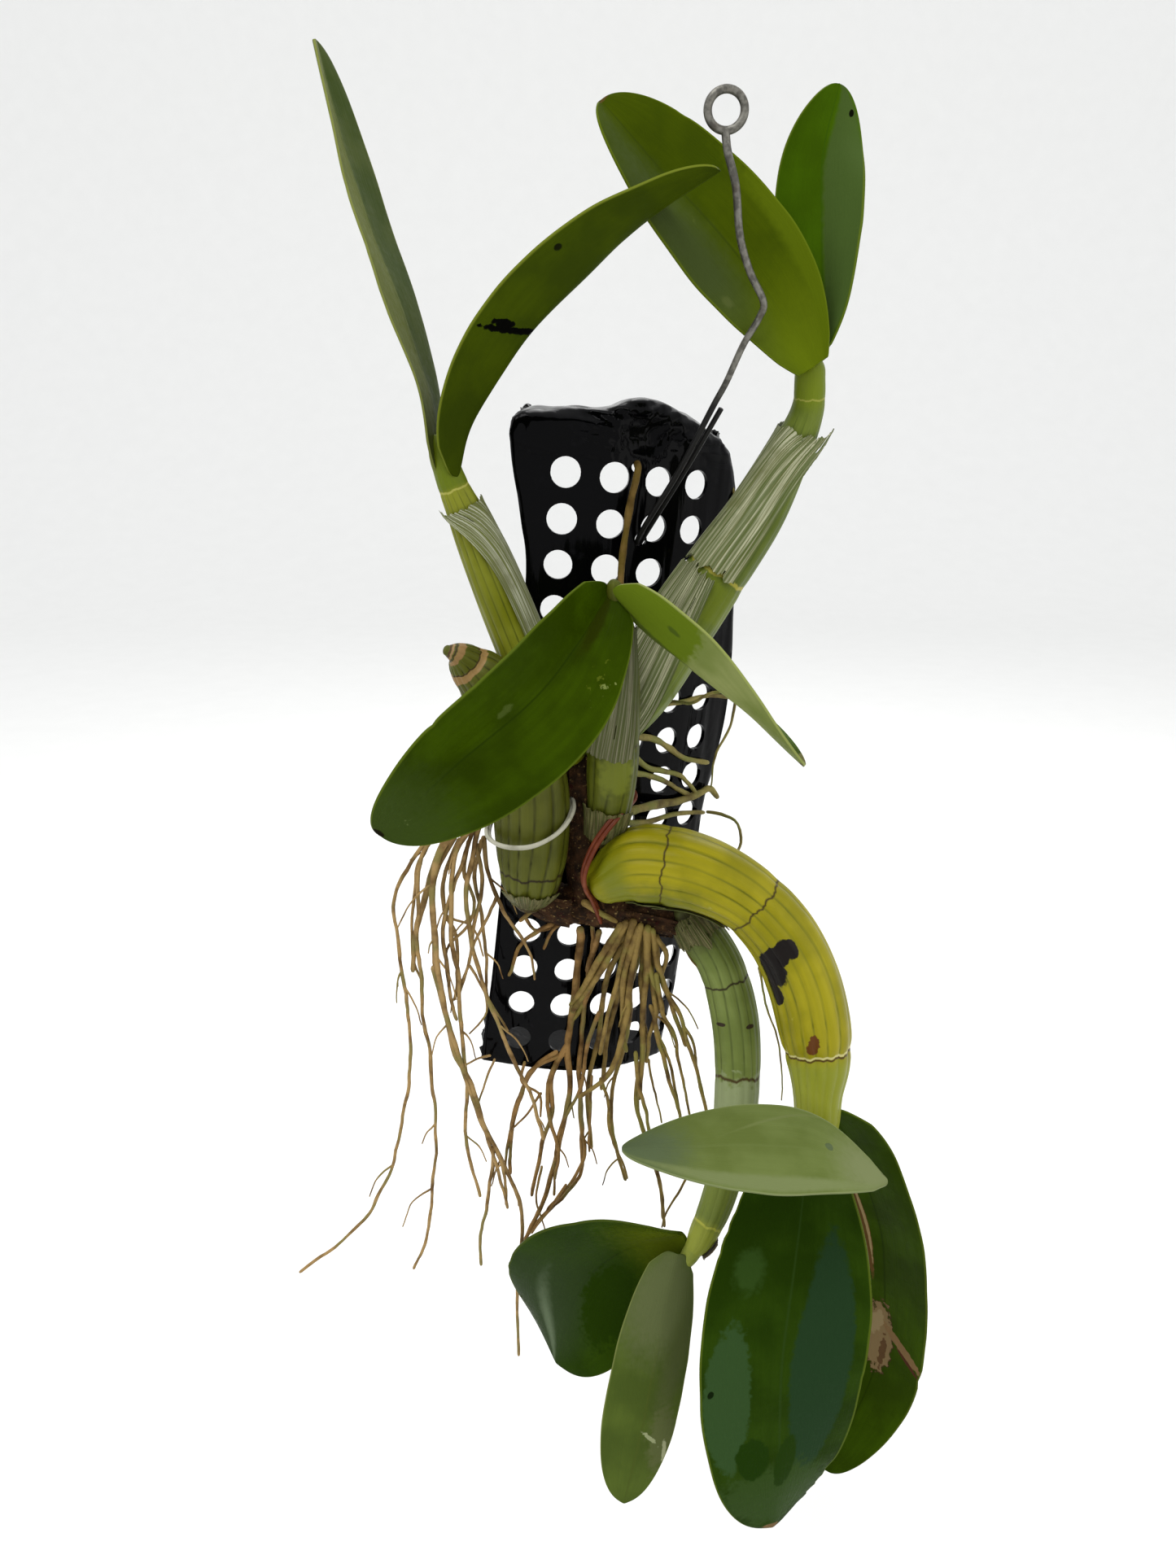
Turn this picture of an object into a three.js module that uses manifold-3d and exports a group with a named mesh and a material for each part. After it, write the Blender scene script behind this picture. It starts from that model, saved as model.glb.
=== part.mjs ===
// Cowhorn orchid tied to a black pierced plastic tray, which hangs on a wire eye.
// Millimetres, +Z up, the viewer on the -Y side, the origin where the wire eye bears on its hook.
import * as THREE from 'three';
import { mergeVertices } from 'three/addons/utils/BufferGeometryUtils.js';
import Module from 'manifold-3d';

// Sizes of the whole

const GAP = 0.3;
const BULB_SIDES = 18;
const BULB_FLUTE = 0.03;
const ROOT_SIDES = 4;
const ROOT_SEED = 7;
const DRAW_STEP = 16807;
const DRAW_SPAN = 2147483647;

// Tray: pierced base to the viewer, walls running back to an open rim

const TRAY_FOOT = [-75.7, 31, -364.1];
const TRAY_LEAN = 5.27;
const TRAY_WALL = 1.8;
const TRAY_DEEP = 42;
const TRAY_HIGH = 256;
const TRAY_CORNER = 2.5;
const TRAY_WAVE = 2.2;
const HOLLOW_DEEP = 5;
const HOLLOW_AT = [30, 260];
const HOLLOW_HALF = [9, 6];
const HOLE_ACROSS = 12;
const HOLE_SIDES = 8;
const HOLE_COLUMNS = [0, 18.8, 36, 51.5, 65];
const HOLE_ROWS = 15;
const HOLE_STEP = 17.5;
const HOLE_DROP = 0.02;
const LAST_COLUMN_ROWS = 12;
// creases of the face, which pass between the holes
const FACE_COLUMNS = [9.4, 27.4, 43.7, 58.2, 70.5];
const FACE_ROWS = [1.5, 3.5, 6.5, 9.5, 12.5, 13.5];
const WIRE_HOLE = [29, 220];
const WIRE_HOLE_ACROSS = 8;
const BOSS_HOLE = [26.5, 249];
const BOSS_HOLE_ACROSS = 3.4;
// how far back the pierced face curves, for each distance across
const TRAY_CURVE = [
  [-28, 0], [9.4, 0], [18.8, 0.6], [35, 5], [50.5, 13], [64, 24], [72, 32], [80, 41],
];
// left and right edge at each height, then the lower and the upper edge for each distance across
const TRAY_LEFT = [
  [-13, -16], [20, -14], [60, -13], [210, -12], [235, -18], [256, -23], [271, -26],
];
const TRAY_RIGHT = [
  [-18, 66], [17, 70], [52, 71], [105, 73], [150, 79], [200, 75], [240, 69], [256, 65], [271, 59],
];
const TRAY_LOW = [[-20, -13], [30, -17], [70, -18]];
const TRAY_RIM_HIGH = [[-28, 263], [0, 265], [20, 271], [45, 270], [60, 265]];

// Wire, ties and rhizome: paths of points, each with its own radius

const WIRE_RADIUS = 1.4;
const WIRE_SIDES = 6;
const EYE_RADIUS = 6;
const EYE_SIDES = 16;
const WIRE_DOWN = [
  [0, 0, -11], [1, 0, -17], [4, 0, -27], [6, 0, -42], [10, 1, -53], [15, 2, -62], [14, 3, -67],
  [9, 5, -76], [4, 8, -88], [0, 11, -96], [-9, 20, -119], [-21, 28, -140], [-26, 37, -149],
];
const WIRE_BACK = [[3, 13, -97], [-6, 22, -118], [-18, 30, -139], [-25, 39, -149]];
const TIE_RADIUS = 1.6;
const WHITE_TIE = [
  [-69.7, 38, -259.3], [-69.7, 33, -259.2], [-72.5, 29, -258.6], [-80, 27.6, -257], [-84, 19, -256],
  [-84, 4, -258], [-77, -4, -259], [-66, -6, -258], [-56, -1, -254], [-51, 9, -249], [-52.5, 20, -246],
  [-58, 28, -243], [-62, 33, -242], [-62, 38, -242],
];
const BROWN_TIE = [
  [-27, 45, -246.5], [-27, 36, -247], [-26, 24, -248], [-32, 8, -249], [-41, 2, -259], [-46, 2, -271],
  [-46, 3, -279], [-43, 9, -287], [-39, 16, -300],
];
const RHIZOME_UP = [
  [-47, 25.1, -223, 5.5], [-48, 23.6, -236, 7], [-48, 23.6, -255, 7], [-46, 22.6, -275, 8],
  [-44, 22.6, -294, 8],
];
const RHIZOME_ALONG = [
  [-73, 25.6, -288, 5], [-59, 22.6, -294, 8], [-42, 22.6, -296, 8], [-22, 22, -299, 7.5],
  [-1, 21, -304, 5],
];

// Pseudobulbs: points up the axis, each with its radius

const BULBS = {
  bulb_e: [
    [-38, 11, -280, 9.5], [-27, 9, -273, 15], [-15, 6, -271, 16], [2, 3, -274, 15],
    [19, 0, -283, 13.6], [33, -3, -298, 14], [42, -6, -316, 14.6], [47, -9, -335, 14.4],
    [49, -12, -350, 12.4], [49, -15, -363, 9.8], [49, -18, -376, 8.5], [48, -19, -381, 5],
  ],
  bulb_d: [
    [-69, 13, -290, 6], [-68, 12, -280, 12], [-67, 12, -260, 14.6], [-68, 11, -235, 14.6],
    [-75, 8, -212, 13.4], [-83, 5, -196, 11], [-89, 3, -189, 8.4], [-93, 0, -184, 5], [-97, -1, -182, 2],
  ],
  bulb_b: [
    [-38, 16, -262, 7], [-36, 14, -247, 9], [-35, 10, -230, 9.9], [-34, 4, -209, 9.2], [-33, -4, -188, 7.1],
    [-33, -12, -171, 4.8], [-35, -18, -159, 3.4],
  ],
  bulb_c: [
    [-42, 20, -226, 6], [-35, 19, -219, 8.5], [-23, 19, -201, 12], [-8, 18, -175, 12.8], [5, 19, -155, 12],
    [19, 20, -134, 10.4], [29, 20, -114, 8.1], [35, 19, -98, 6], [35, 17, -85, 5.4],
  ],
  bulb_a: [
    [-52, 19, -228, 7], [-62, 17, -206, 9.4], [-72, 16, -180, 9.6], [-81, 15, -156, 8.9],
    [-88, 13, -138, 7.5], [-93, 11, -126, 5.8], [-96, 10, -117, 5],
  ],
  bulb_f: [
    [-4, 20, -297, 6], [1, 18, -304, 9], [11, 16, -320, 9.5], [17, 13, -340, 10], [19, 8, -360, 9.7],
    [18, 1, -384, 9], [15, -5, -404, 7.6], [10, -10, -421, 7], [4, -14, -434, 5.9], [0, -16, -440, 4],
  ],
};

// Leaves: rib points from the foot to the tip, full width, width of the foot against it, where the blade
// is widest, bluntness of the tip, turn of the upper face from the viewer, and fold of each half (degrees).
// A neck is the folded foot of a leaf that is bent back across its bulb.

const LEAF_STATIONS = 12;
const LEAF_THICK = [0.9, 1.3, 1.8, 1.3, 0.9];
const LEAVES = {
  leaf_a1: {
    rib: [[-99, 12, -119], [-102, 17, -91], [-114, 22, -58], [-126, 30, -26], [-136, 38, 9], [-140, 41, 25]],
    wide: 45, foot: 0.52, belly: 0.51, blunt: 1.4, roll: [89, 84, 81], fold: [-5, 18],
  },
  leaf_a2: {
    rib: [[-92, 7, -120], [-85, 8, -99], [-63, 5, -70], [-39, 1, -47], [-19, -6, -33], [-3, -13, -24]],
    wide: 52, foot: 0.33, belly: 0.43, blunt: 1.5, roll: [-97, -101, -100], fold: [33, 24],
  },
  leaf_b1: {
    rib: [[-37, -18, -157], [-49, -31, -174], [-64, -39, -191], [-92, -46, -214], [-117, -51, -236]],
    wide: 55, foot: 0.35, belly: 0.53, blunt: 2.4, roll: [-11, -23, -35], fold: [32, 18],
  },
  leaf_b2: {
    rib: [[-36, -21, -157], [-23, -27, -170], [-9, -31, -181], [11, -35, -197], [31, -38, -215]],
    wide: 44, foot: 0.35, belly: 0.39, blunt: 1.8, roll: [-123, -107, -86], fold: [21, 12],
  },
  leaf_c1: {
    rib: [[34, 16, -82], [19, 17, -60], [2, 19, -41], [-20, 19, -19], [-41, 16, 1]],
    wide: 49, foot: 0.29, belly: 0.55, blunt: 2.2, roll: [2, 29, 44], fold: [16, 14],
  },
  leaf_c2: {
    rib: [[36, 19, -81], [39, 23, -61], [39, 29, -39], [38, 33, -13], [42, 33, 10]],
    wide: 36, foot: 0.33, belly: 0.46, blunt: 1.7, roll: [-32, -31, 16], fold: [34, 11],
  },
  leaf_e3: {
    rib: [[70, -50, -379], [44, -49, -367], [20, -50, -363], [-6, -53, -361], [-32, -58, -359]],
    wide: 38, foot: 0.2, belly: 0.39, blunt: 2.1, roll: [-97, -114, -84], fold: [0, 8],
    neck: [[49, -19, -380, 4.5], [51, -31, -376, 4.5], [47, -46, -367.5, 2.5]],
  },
  leaf_e2: {
    rib: [
      [45, -21, -374], [43, -29, -401], [39, -39, -431], [35, -46, -473], [36, -48, -523], [36, -44, -563],
    ],
    wide: 68, foot: 0.33, belly: 0.47, blunt: 2.7, roll: [32, 2, -23], fold: [16, -8],
  },
  leaf_e1: {
    rib: [[54, -16, -370], [72, 0, -405], [90, 9, -463], [92, 11, -527], [69, 0, -581]],
    wide: 51, foot: 0.42, belly: 0.53, blunt: 2.1, roll: [8, 44, 30], fold: [17, 16],
  },
  leaf_f2: {
    rib: [[-7, -20, -438], [-12, -27, -457], [-20, -36, -506], [-29, -40, -554]],
    wide: 36, foot: 0.46, belly: 0.53, blunt: 2.3, roll: [181, 166, 177], fold: [18, 11],
  },
  leaf_f1: {
    rib: [[-4, -14, -433], [-31, -6, -449], [-49, -2, -474], [-59, 2, -518]],
    wide: 68, foot: 0.39, belly: 0.57, blunt: 1.9, roll: [-13, 12, 50], fold: [24, -8],
  },
};

// Papery sheaths: the bulb they wrap, from and to which of its rings, and where each edge runs at the foot
// and at the top (degrees round from the viewer, to the right)

const SHEATH_THICK = 0.7;
const SHEATH_OFF = 0.7;
const SHEATH_STRIPS = 8;
const SHEATHS = {
  sheath_a: { bulb: 'bulb_a', rings: [1.6, 5.2], left: [10, -70], right: [140, 120] },
  sheath_b: { bulb: 'bulb_b', rings: [1.4, 5.6], left: [-120, -60], right: [30, 60] },
  sheath_c: { bulb: 'bulb_c', rings: [4.4, 7.3], left: [-150, -140], right: [30, 80] },
  sheath_c_low: { bulb: 'bulb_c', rings: [1.5, 4.2], left: [-30, -40], right: [40, 10] },
};

// Roots: bunches of strands, each strand with its radius at the start and at the tip

// a strand of this many points grows a rootlet of about this length
const LONG_STRAND = 7;
const ROOTLET_REACH = [9, 17];
const ROOTS = {
  roots_left: {
    crown: [
      [-56, 24, -231, 4.5], [-68, 26.5, -230, 4.2], [-78, 26, -231, 4], [-83, 24, -238, 4],
      [-86, 22, -246, 2.5],
    ],
    strands: [
      [0.9, 0.7, [-83, 23, -236], [-100, 18, -253], [-115, 16, -271], [-125, 17, -292], [-123, 19, -331],
        [-122, 20, -356], [-125, 20, -386], [-134, 20, -425], [-151, 20, -457], [-179, 20, -482]],
      [1, 0.7, [-83, 23, -238], [-97, 17, -253], [-112, 16, -270], [-116, 17, -300], [-116, 19, -343],
        [-113, 20, -384], [-114, 20, -422], [-119, 20, -458], [-126, 20, -480]],
      [1.7, 0.7, [-82, 23, -238], [-93, 15, -252], [-105, 14, -269], [-109, 15, -295], [-106, 17, -342],
        [-93, 19, -396], [-80, 20, -431], [-75, 20, -453], [-78, 19, -494], [-78, 19, -530]],
      [1.3, 0.7, [-83, 24, -240], [-90, 17, -253], [-99, 15, -270], [-102, 16, -299], [-100, 18, -335],
        [-99, 19, -379], [-99, 20, -414], [-94, 20, -439]],
      [1.2, 0.8, [-84, 24, -240], [-88, 20, -256], [-92, 18, -271], [-95, 17, -292], [-90, 17, -326],
        [-80, 18, -360], [-69, 19, -388], [-65, 20, -409]],
      [1, 0.8, [-86, 22, -246], [-96, 17, -274], [-105, 18, -300], [-104, 19, -324], [-102, 19, -347]],
      [0.9, 0.7, [-87, 19.5, -412], [-90, 20, -440], [-95, 21, -463], [-95, 21, -479]],
      [0.9, 0.7, [-93, 19, -396], [-85, 18, -425], [-82, 18, -444]],
    ],
  },
  roots_middle: {
    crown: [[-60, 19, -303, 3], [-50, 18, -305, 3.5], [-40, 18, -306, 3]],
    strands: [
      [1.8, 1, [-48, 18, -305], [-48, 23, -314], [-51, 30.9, -346], [-54, 30.8, -370], [-53, 30.8, -393],
        [-58, 30.8, -419], [-65, 30.8, -448], [-75, 30.8, -474]],
      [1.3, 0.8, [-54, 30.5, -367], [-61, 30, -382], [-61, 30, -403], [-66, 30, -420], [-71, 30, -446]],
      [1.1, 0.8, [-55, 30.6, -372], [-69, 29.7, -379], [-76, 29.7, -395], [-80, 29.7, -416],
        [-81, 29.7, -434]],
      [1.4, 0.8, [-40, 18, -306], [-43, 23.4, -322], [-47, 32.3, -355], [-49, 32.3, -384], [-47, 32.3, -414],
        [-49, 32.3, -438], [-67, 32.3, -463]],
      [1.1, 0.8, [-60, 19, -303], [-67, 23, -308], [-74, 29, -317], [-79, 29.5, -332]],
    ],
  },
  roots_front: {
    crown: [[-30, 18, -306, 2.5], [-22, 18, -307, 3.4], [-15, 18, -308, 2.5]],
    strands: [
      [1.6, 0.9, [-29, 18, -307], [-38, 25.1, -323], [-46, 31.5, -346], [-51, 31, -355]],
      [1.5, 0.8, [-27, 18, -307], [-36, 24.2, -330], [-40, 34.6, -364], [-45, 34.6, -394], [-43, 34.6, -424]],
      [1.4, 0.9, [-24, 18, -307], [-29, 25.6, -327], [-34, 36, -356], [-38, 36.5, -378], [-39, 36.5, -393]],
      [1.4, 0.8, [-21, 18, -307], [-25, 26.2, -331], [-27, 40, -366], [-34, 39, -400], [-33, 38, -422],
        [-27, 38, -443]],
      [1.5, 0.8, [-20, 18, -307], [-22, 20, -330], [-20, 24, -359], [-23, 25, -392], [-18, 25, -414],
        [-12, 25, -436], [-10, 25, -456]],
      [1.3, 0.8, [-18, 18, -308], [-17, 17, -330], [-15, 17, -353], [-9, 18, -378], [-4, 19, -398]],
      [1.2, 0.8, [-16, 18, -308], [-14, 17, -327], [-6, 16, -343], [0, 17, -362], [8, 18, -395]],
    ],
  },
  roots_right: {
    crown: [[-30, 22, -219, 2.6], [-29, 24, -233, 2.6], [-30, 24, -247, 2.6], [-31, 23, -259, 2.4]],
    strands: [
      [1.2, 0.8, [-28, 24, -218], [-19, 33, -215], [-11, 42.4, -214], [-1, 50.6, -214], [8, 58.3, -214],
        [19, 64, -216]],
      [1.5, 1.1, [-28, 24, -223], [-19, 34, -226], [-11, 43.7, -233], [-3, 50.8, -240], [7, 60.4, -245]],
      [1.4, 1, [-28, 24, -229], [-20, 34, -238], [-13, 42.8, -243], [-5, 49.4, -248], [2, 56.5, -258]],
      [1.4, 1, [-28, 24, -237], [-19, 35, -243], [-9, 46.6, -251], [-1, 54.1, -257]],
      [2, 1.3, [-29, 24, -255], [-19, 35, -256], [-7, 48.1, -259], [4, 57.5, -258], [9, 61.5, -257],
        [12, 63, -261]],
      [1.5, 1, [-30, 23, -259], [-21, 34, -263], [-8, 48.8, -265], [6, 60.4, -268]],
    ],
  },
};
const GOLD_ROOT = [
  [-26, 36, -117], [-26, 29, -120], [-29, 27.5, -133], [-31, 27.5, -147], [-32, 24, -160], [-33, 4, -176],
];
const GOLD_ROOT_RADIUS = 1.5;

// Looks: colour, roughness and metalness

const BLACK = ['#15161a', 0.35, 0];
const ZINC = ['#8c8a87', 0.4, 0.9];
const WHITE = ['#dcdad2', 0.5, 0];
const COPPER = ['#8d4a30', 0.4, 0.6];
const BARK = ['#4a2c1c', 0.9, 0];
const TAN = ['#9a7a4c', 0.8, 0];
const PALE_ROOT = ['#c2ad74', 0.7, 0];
const SHEATH = ['#b9b28f', 0.8, 0];
const LEAF = ['#4a6414', 0.4, 0];
const BULB_LOOKS = {
  bulb_e: ['#a8a318', 0.5, 0],
  bulb_d: ['#7d8232', 0.6, 0],
  bulb_b: ['#9a9c4a', 0.6, 0],
  bulb_c: ['#7f8f2c', 0.5, 0],
  bulb_a: ['#8c9438', 0.5, 0],
  bulb_f: ['#7c8c50', 0.5, 0],
};

// Helpers

const wasm = await Module();
wasm.setup();
const { Manifold, Mesh } = wasm;

const point = (p) => new THREE.Vector3(p[0], p[1], p[2]);
const radians = THREE.MathUtils.degToRad;
const smooth = (points) => new THREE.CatmullRomCurve3(points.map(point), false, 'catmullrom', 0.5);

// value between listed pairs, straight from one to the next
function between(pairs, at) {
  const last = pairs.length - 1;
  let i = 0;
  while (i < last - 1 && at > pairs[i + 1][0]) i += 1;
  const part = (at - pairs[i][0]) / (pairs[i + 1][0] - pairs[i][0]);
  return pairs[i][1] + (pairs[i + 1][1] - pairs[i][1]) * THREE.MathUtils.clamp(part, 0, 1);
}

// closed solid from corner points and triangles, turned outward
function closed(corners, faces) {
  const flat = new Float32Array(corners.flatMap((c) => [c.x, c.y, c.z]));
  const solid = (list) => new Manifold(
    new Mesh({ numProp: 3, vertProperties: flat, triVerts: new Uint32Array(list.flat()) }),
  );
  const made = solid(faces);
  return made.volume() < 0 ? solid(faces.map(([a, b, c]) => [a, c, b])) : made;
}

function fromGeometry(geometry) {
  const bare = new THREE.BufferGeometry();
  const source = geometry.index ? geometry.toNonIndexed() : geometry;
  bare.setAttribute('position', source.getAttribute('position'));
  const merged = mergeVertices(bare, 1e-4);
  return new Manifold(new Mesh({
    numProp: 3,
    vertProperties: new Float32Array(merged.attributes.position.array),
    triVerts: new Uint32Array(merged.index.array),
  }));
}

// solid between two sheets of points with the same rows and columns, split alike on both faces
function slab(upper, lower) {
  const rows = upper.length;
  const columns = upper[0].length;
  const corners = [...upper.flat(), ...lower.flat()];
  const top = (i, j) => i * columns + j;
  const under = (i, j) => rows * columns + i * columns + j;
  const faces = [];
  for (let i = 0; i < rows - 1; i += 1) {
    for (let j = 0; j < columns - 1; j += 1) {
      faces.push([top(i, j), top(i + 1, j), top(i + 1, j + 1)]);
      faces.push([top(i, j), top(i + 1, j + 1), top(i, j + 1)]);
      faces.push([under(i, j), under(i + 1, j + 1), under(i + 1, j)]);
      faces.push([under(i, j), under(i, j + 1), under(i + 1, j + 1)]);
    }
  }
  const edge = [];
  for (let j = 0; j < columns; j += 1) edge.push([0, j]);
  for (let i = 1; i < rows; i += 1) edge.push([i, columns - 1]);
  for (let j = columns - 2; j >= 0; j -= 1) edge.push([rows - 1, j]);
  for (let i = rows - 2; i > 0; i -= 1) edge.push([i, 0]);
  edge.forEach(([i, j], k) => {
    const [m, n] = edge[(k + 1) % edge.length];
    faces.push([top(i, j), top(m, n), under(m, n)], [top(i, j), under(m, n), under(i, j)]);
  });
  return closed(corners, faces);
}

// stations up a path of points with radii: centre, radius and two directions across, the first to the viewer
function stations(points, count) {
  const path = smooth(points);
  const girth = smooth(points.map((p) => [p[3], 0, 0]));
  let side = new THREE.Vector3(0, -1, 0);
  return Array.from({ length: count }, (_, i) => {
    const t = i / (count - 1);
    const ahead = path.getTangent(t);
    if (i === 0 && Math.abs(ahead.y) > 0.9) side = new THREE.Vector3(1, 0, 0);
    side = side.clone().addScaledVector(ahead, -side.dot(ahead)).normalize();
    const over = ahead.clone().cross(side);
    return { at: path.getPoint(t), radius: girth.getPoint(t).x, side, over, ahead };
  });
}

const around = (station, radius, turn) => station.at.clone()
  .addScaledVector(station.side, radius * Math.cos(turn))
  .addScaledVector(station.over, radius * Math.sin(turn));

// round or fluted limb along a path, closed by a low cone at each end
function limb(points, count, sides, flute, more) {
  const line = stations(points, count);
  const corners = line.flatMap((s) => Array.from({ length: sides }, (_, k) => {
    const groove = flute ? 1 + (k % 2 ? -flute : flute) : 1;
    return around(s, s.radius * groove + more, (k / sides) * 2 * Math.PI);
  }));
  const [start, end] = [line[0], line[count - 1]];
  corners.push(start.at.clone().addScaledVector(start.ahead, -0.4 * start.radius - more));
  corners.push(end.at.clone().addScaledVector(end.ahead, 0.4 * end.radius + more));
  const faces = [];
  for (let k = 0; k < sides; k += 1) {
    const next = (k + 1) % sides;
    for (let i = 0; i < count - 1; i += 1) {
      const [a, b, c, d] = [i * sides + k, i * sides + next, (i + 1) * sides + next, (i + 1) * sides + k];
      faces.push([a, b, c], [a, c, d]);
    }
    faces.push([count * sides, next, k]);
    faces.push([count * sides + 1, (count - 1) * sides + k, (count - 1) * sides + next]);
  }
  return closed(corners, faces);
}

const bulbLine = (name) => stations(BULBS[name], BULBS[name].length + 1);

// Tray

const lean = radians(TRAY_LEAN);
const acrossTray = new THREE.Vector3(Math.cos(lean), 0, -Math.sin(lean));
const upTray = new THREE.Vector3(Math.sin(lean), 0, Math.cos(lean));
const trayPoint = (across, back, up) => point(TRAY_FOOT)
  .addScaledVector(acrossTray, across)
  .addScaledVector(upTray, up)
  .add(new THREE.Vector3(0, back, 0));

// the top wall slumped in folds when it was heated, and has a hollow over the boss
function slump(across, up) {
  const high = THREE.MathUtils.smoothstep(up, TRAY_HIGH - 6, TRAY_HIGH + 15) * TRAY_WAVE;
  const aside = (across - HOLLOW_AT[0]) / HOLLOW_HALF[0];
  const above = (up - HOLLOW_AT[1]) / HOLLOW_HALF[1];
  return {
    back: high * 0.7 * Math.sin(across / 5) + HOLLOW_DEEP * Math.exp(-(aside ** 2) - above ** 2),
    up: high * (Math.sin(across / 11 + 4.6) + 0.35 * Math.sin(across / 4)),
  };
}

// height of each row of corners at a distance across, with the row's share of the way back to the rim
function trayRows(across) {
  const low = between(TRAY_LOW, across);
  const rise = between(TRAY_RIM_HIGH, across) - TRAY_HIGH;
  return [
    [low, 1], [low, 0.1], [low + TRAY_CORNER, 0],
    ...FACE_ROWS.map((row) => [row * HOLE_STEP - HOLE_DROP * across, 0]),
    [TRAY_HIGH - 4, 0], [TRAY_HIGH, 0.05], [TRAY_HIGH + 0.25 * rise, 0.2], [TRAY_HIGH + 0.6 * rise, 0.55],
    [TRAY_HIGH + rise, 1],
  ];
}

function tray(more) {
  const walls = [1, 0.1, 0, 0, 0, 0, 0, 0, 0, 0.1, 1];
  const rim = TRAY_FOOT[1] + TRAY_DEEP;
  const face = trayRows(0).map(([level], row) => {
    const left = between(TRAY_LEFT, level);
    const right = between(TRAY_RIGHT, level);
    const creases = FACE_COLUMNS.map((column) => Math.min(column, right - TRAY_CORNER - 0.5));
    return [left, left, left + TRAY_CORNER, ...creases, right - 1, right, right].map((across, column) => {
      const [up, wallUp] = trayRows(across)[row];
      const curve = between(TRAY_CURVE, across);
      const wall = 1 - (1 - wallUp) * (1 - walls[column]);
      const fold = slump(across, up);
      const back = wall === 1 ? 0 : fold.back;
      return trayPoint(across, curve + (TRAY_DEEP - curve) * wall + back, up + fold.up);
    });
  });
  // each wall point moves inward by the wall's thickness, but the rim stays in one plane
  const way = (from, to) => to.clone().sub(from).normalize();
  const shifted = (distance) => face.map((row, i) => row.map((p, j) => {
    const below = face[Math.max(i - 1, 0)][j];
    const above = face[Math.min(i + 1, face.length - 1)][j];
    const before = row[Math.max(j - 1, 0)];
    const after = row[Math.min(j + 1, row.length - 1)];
    const out = way(before, p).add(way(p, after)).cross(way(below, p).add(way(p, above))).normalize();
    const moved = p.clone().addScaledVector(out, distance);
    const onRim = i === 0 || i === face.length - 1 || j === 0 || j === row.length - 1;
    if (onRim) moved.y = rim + more;
    return moved;
  }));
  return slab(shifted(more), shifted(-TRAY_WALL - more));
}

function hole(across, up, size) {
  const slope = (between(TRAY_CURVE, across + 5) - between(TRAY_CURVE, across - 5)) / 10;
  const out = acrossTray.clone().multiplyScalar(slope).add(new THREE.Vector3(0, -1, 0)).normalize();
  const drill = new THREE.CylinderGeometry(size / 2, size / 2, 16, HOLE_SIDES);
  drill.applyQuaternion(new THREE.Quaternion().setFromUnitVectors(new THREE.Vector3(0, 1, 0), out));
  const at = trayPoint(across, between(TRAY_CURVE, across), up);
  return fromGeometry(drill.translate(at.x, at.y, at.z));
}

function piercedTray(more) {
  const drills = [[WIRE_HOLE, WIRE_HOLE_ACROSS], [BOSS_HOLE, BOSS_HOLE_ACROSS]]
    .map(([at, size]) => hole(...at, size - 2 * more));
  for (let row = 0; row < HOLE_ROWS; row += 1) {
    const columns = row < LAST_COLUMN_ROWS ? HOLE_COLUMNS : HOLE_COLUMNS.slice(0, -1);
    columns.forEach((across) => {
      drills.push(hole(across, row * HOLE_STEP - HOLE_DROP * across, HOLE_ACROSS - 2 * more));
    });
  }
  return tray(more).subtract(Manifold.union(drills));
}

// Leaves

// share of the full width at each part of the length
function breadth(spec, t) {
  if (t < spec.belly) return spec.foot + (1 - spec.foot) * (1 - (1 - t / spec.belly) ** 2);
  return Math.sqrt(Math.max(1 - ((t - spec.belly) / (1 - spec.belly)) ** spec.blunt, 0));
}

function leaf(spec, more) {
  const rib = smooth(spec.rib);
  const turn = smooth(spec.roll.map((degrees) => [degrees, 0, 0]));
  const upper = [];
  const lower = [];
  for (let i = 0; i < LEAF_STATIONS; i += 1) {
    const t = (1 - Math.cos(Math.PI * (i / (LEAF_STATIONS - 1)))) / 2;
    const at = rib.getPointAt(t);
    const ahead = rib.getTangentAt(t);
    const toViewer = new THREE.Vector3(0, -1, 0);
    toViewer.addScaledVector(ahead, -toViewer.dot(ahead)).normalize();
    const level = ahead.clone().cross(toViewer);
    const roll = radians(turn.getPoint(t).x);
    const face = toViewer.clone().multiplyScalar(Math.cos(roll)).addScaledVector(level, Math.sin(roll));
    const across = level.clone().multiplyScalar(Math.cos(roll)).addScaledVector(toViewer, -Math.sin(roll));
    const half = Math.max((spec.wide / 2) * breadth(spec, t), 1) + more;
    const fold = radians(THREE.MathUtils.lerp(spec.fold[0], spec.fold[1], t));
    const middle = [-1, -0.5, 0, 0.5, 1].map((u) => at.clone()
      .addScaledVector(across, half * u * Math.cos(fold))
      .addScaledVector(face, half * Math.abs(u) * Math.sin(fold)));
    upper.push(middle.map((m, k) => m.clone().addScaledVector(face, LEAF_THICK[k] / 2 + more)));
    lower.push(middle.map((m, k) => m.clone().addScaledVector(face, -LEAF_THICK[k] / 2 - more)));
  }
  const blade = slab(upper, lower);
  return spec.neck ? blade.add(limb(spec.neck, 5, 8, 0, more)) : blade;
}

// Sheaths: a strip of thin shell that stands just off its bulb

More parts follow.
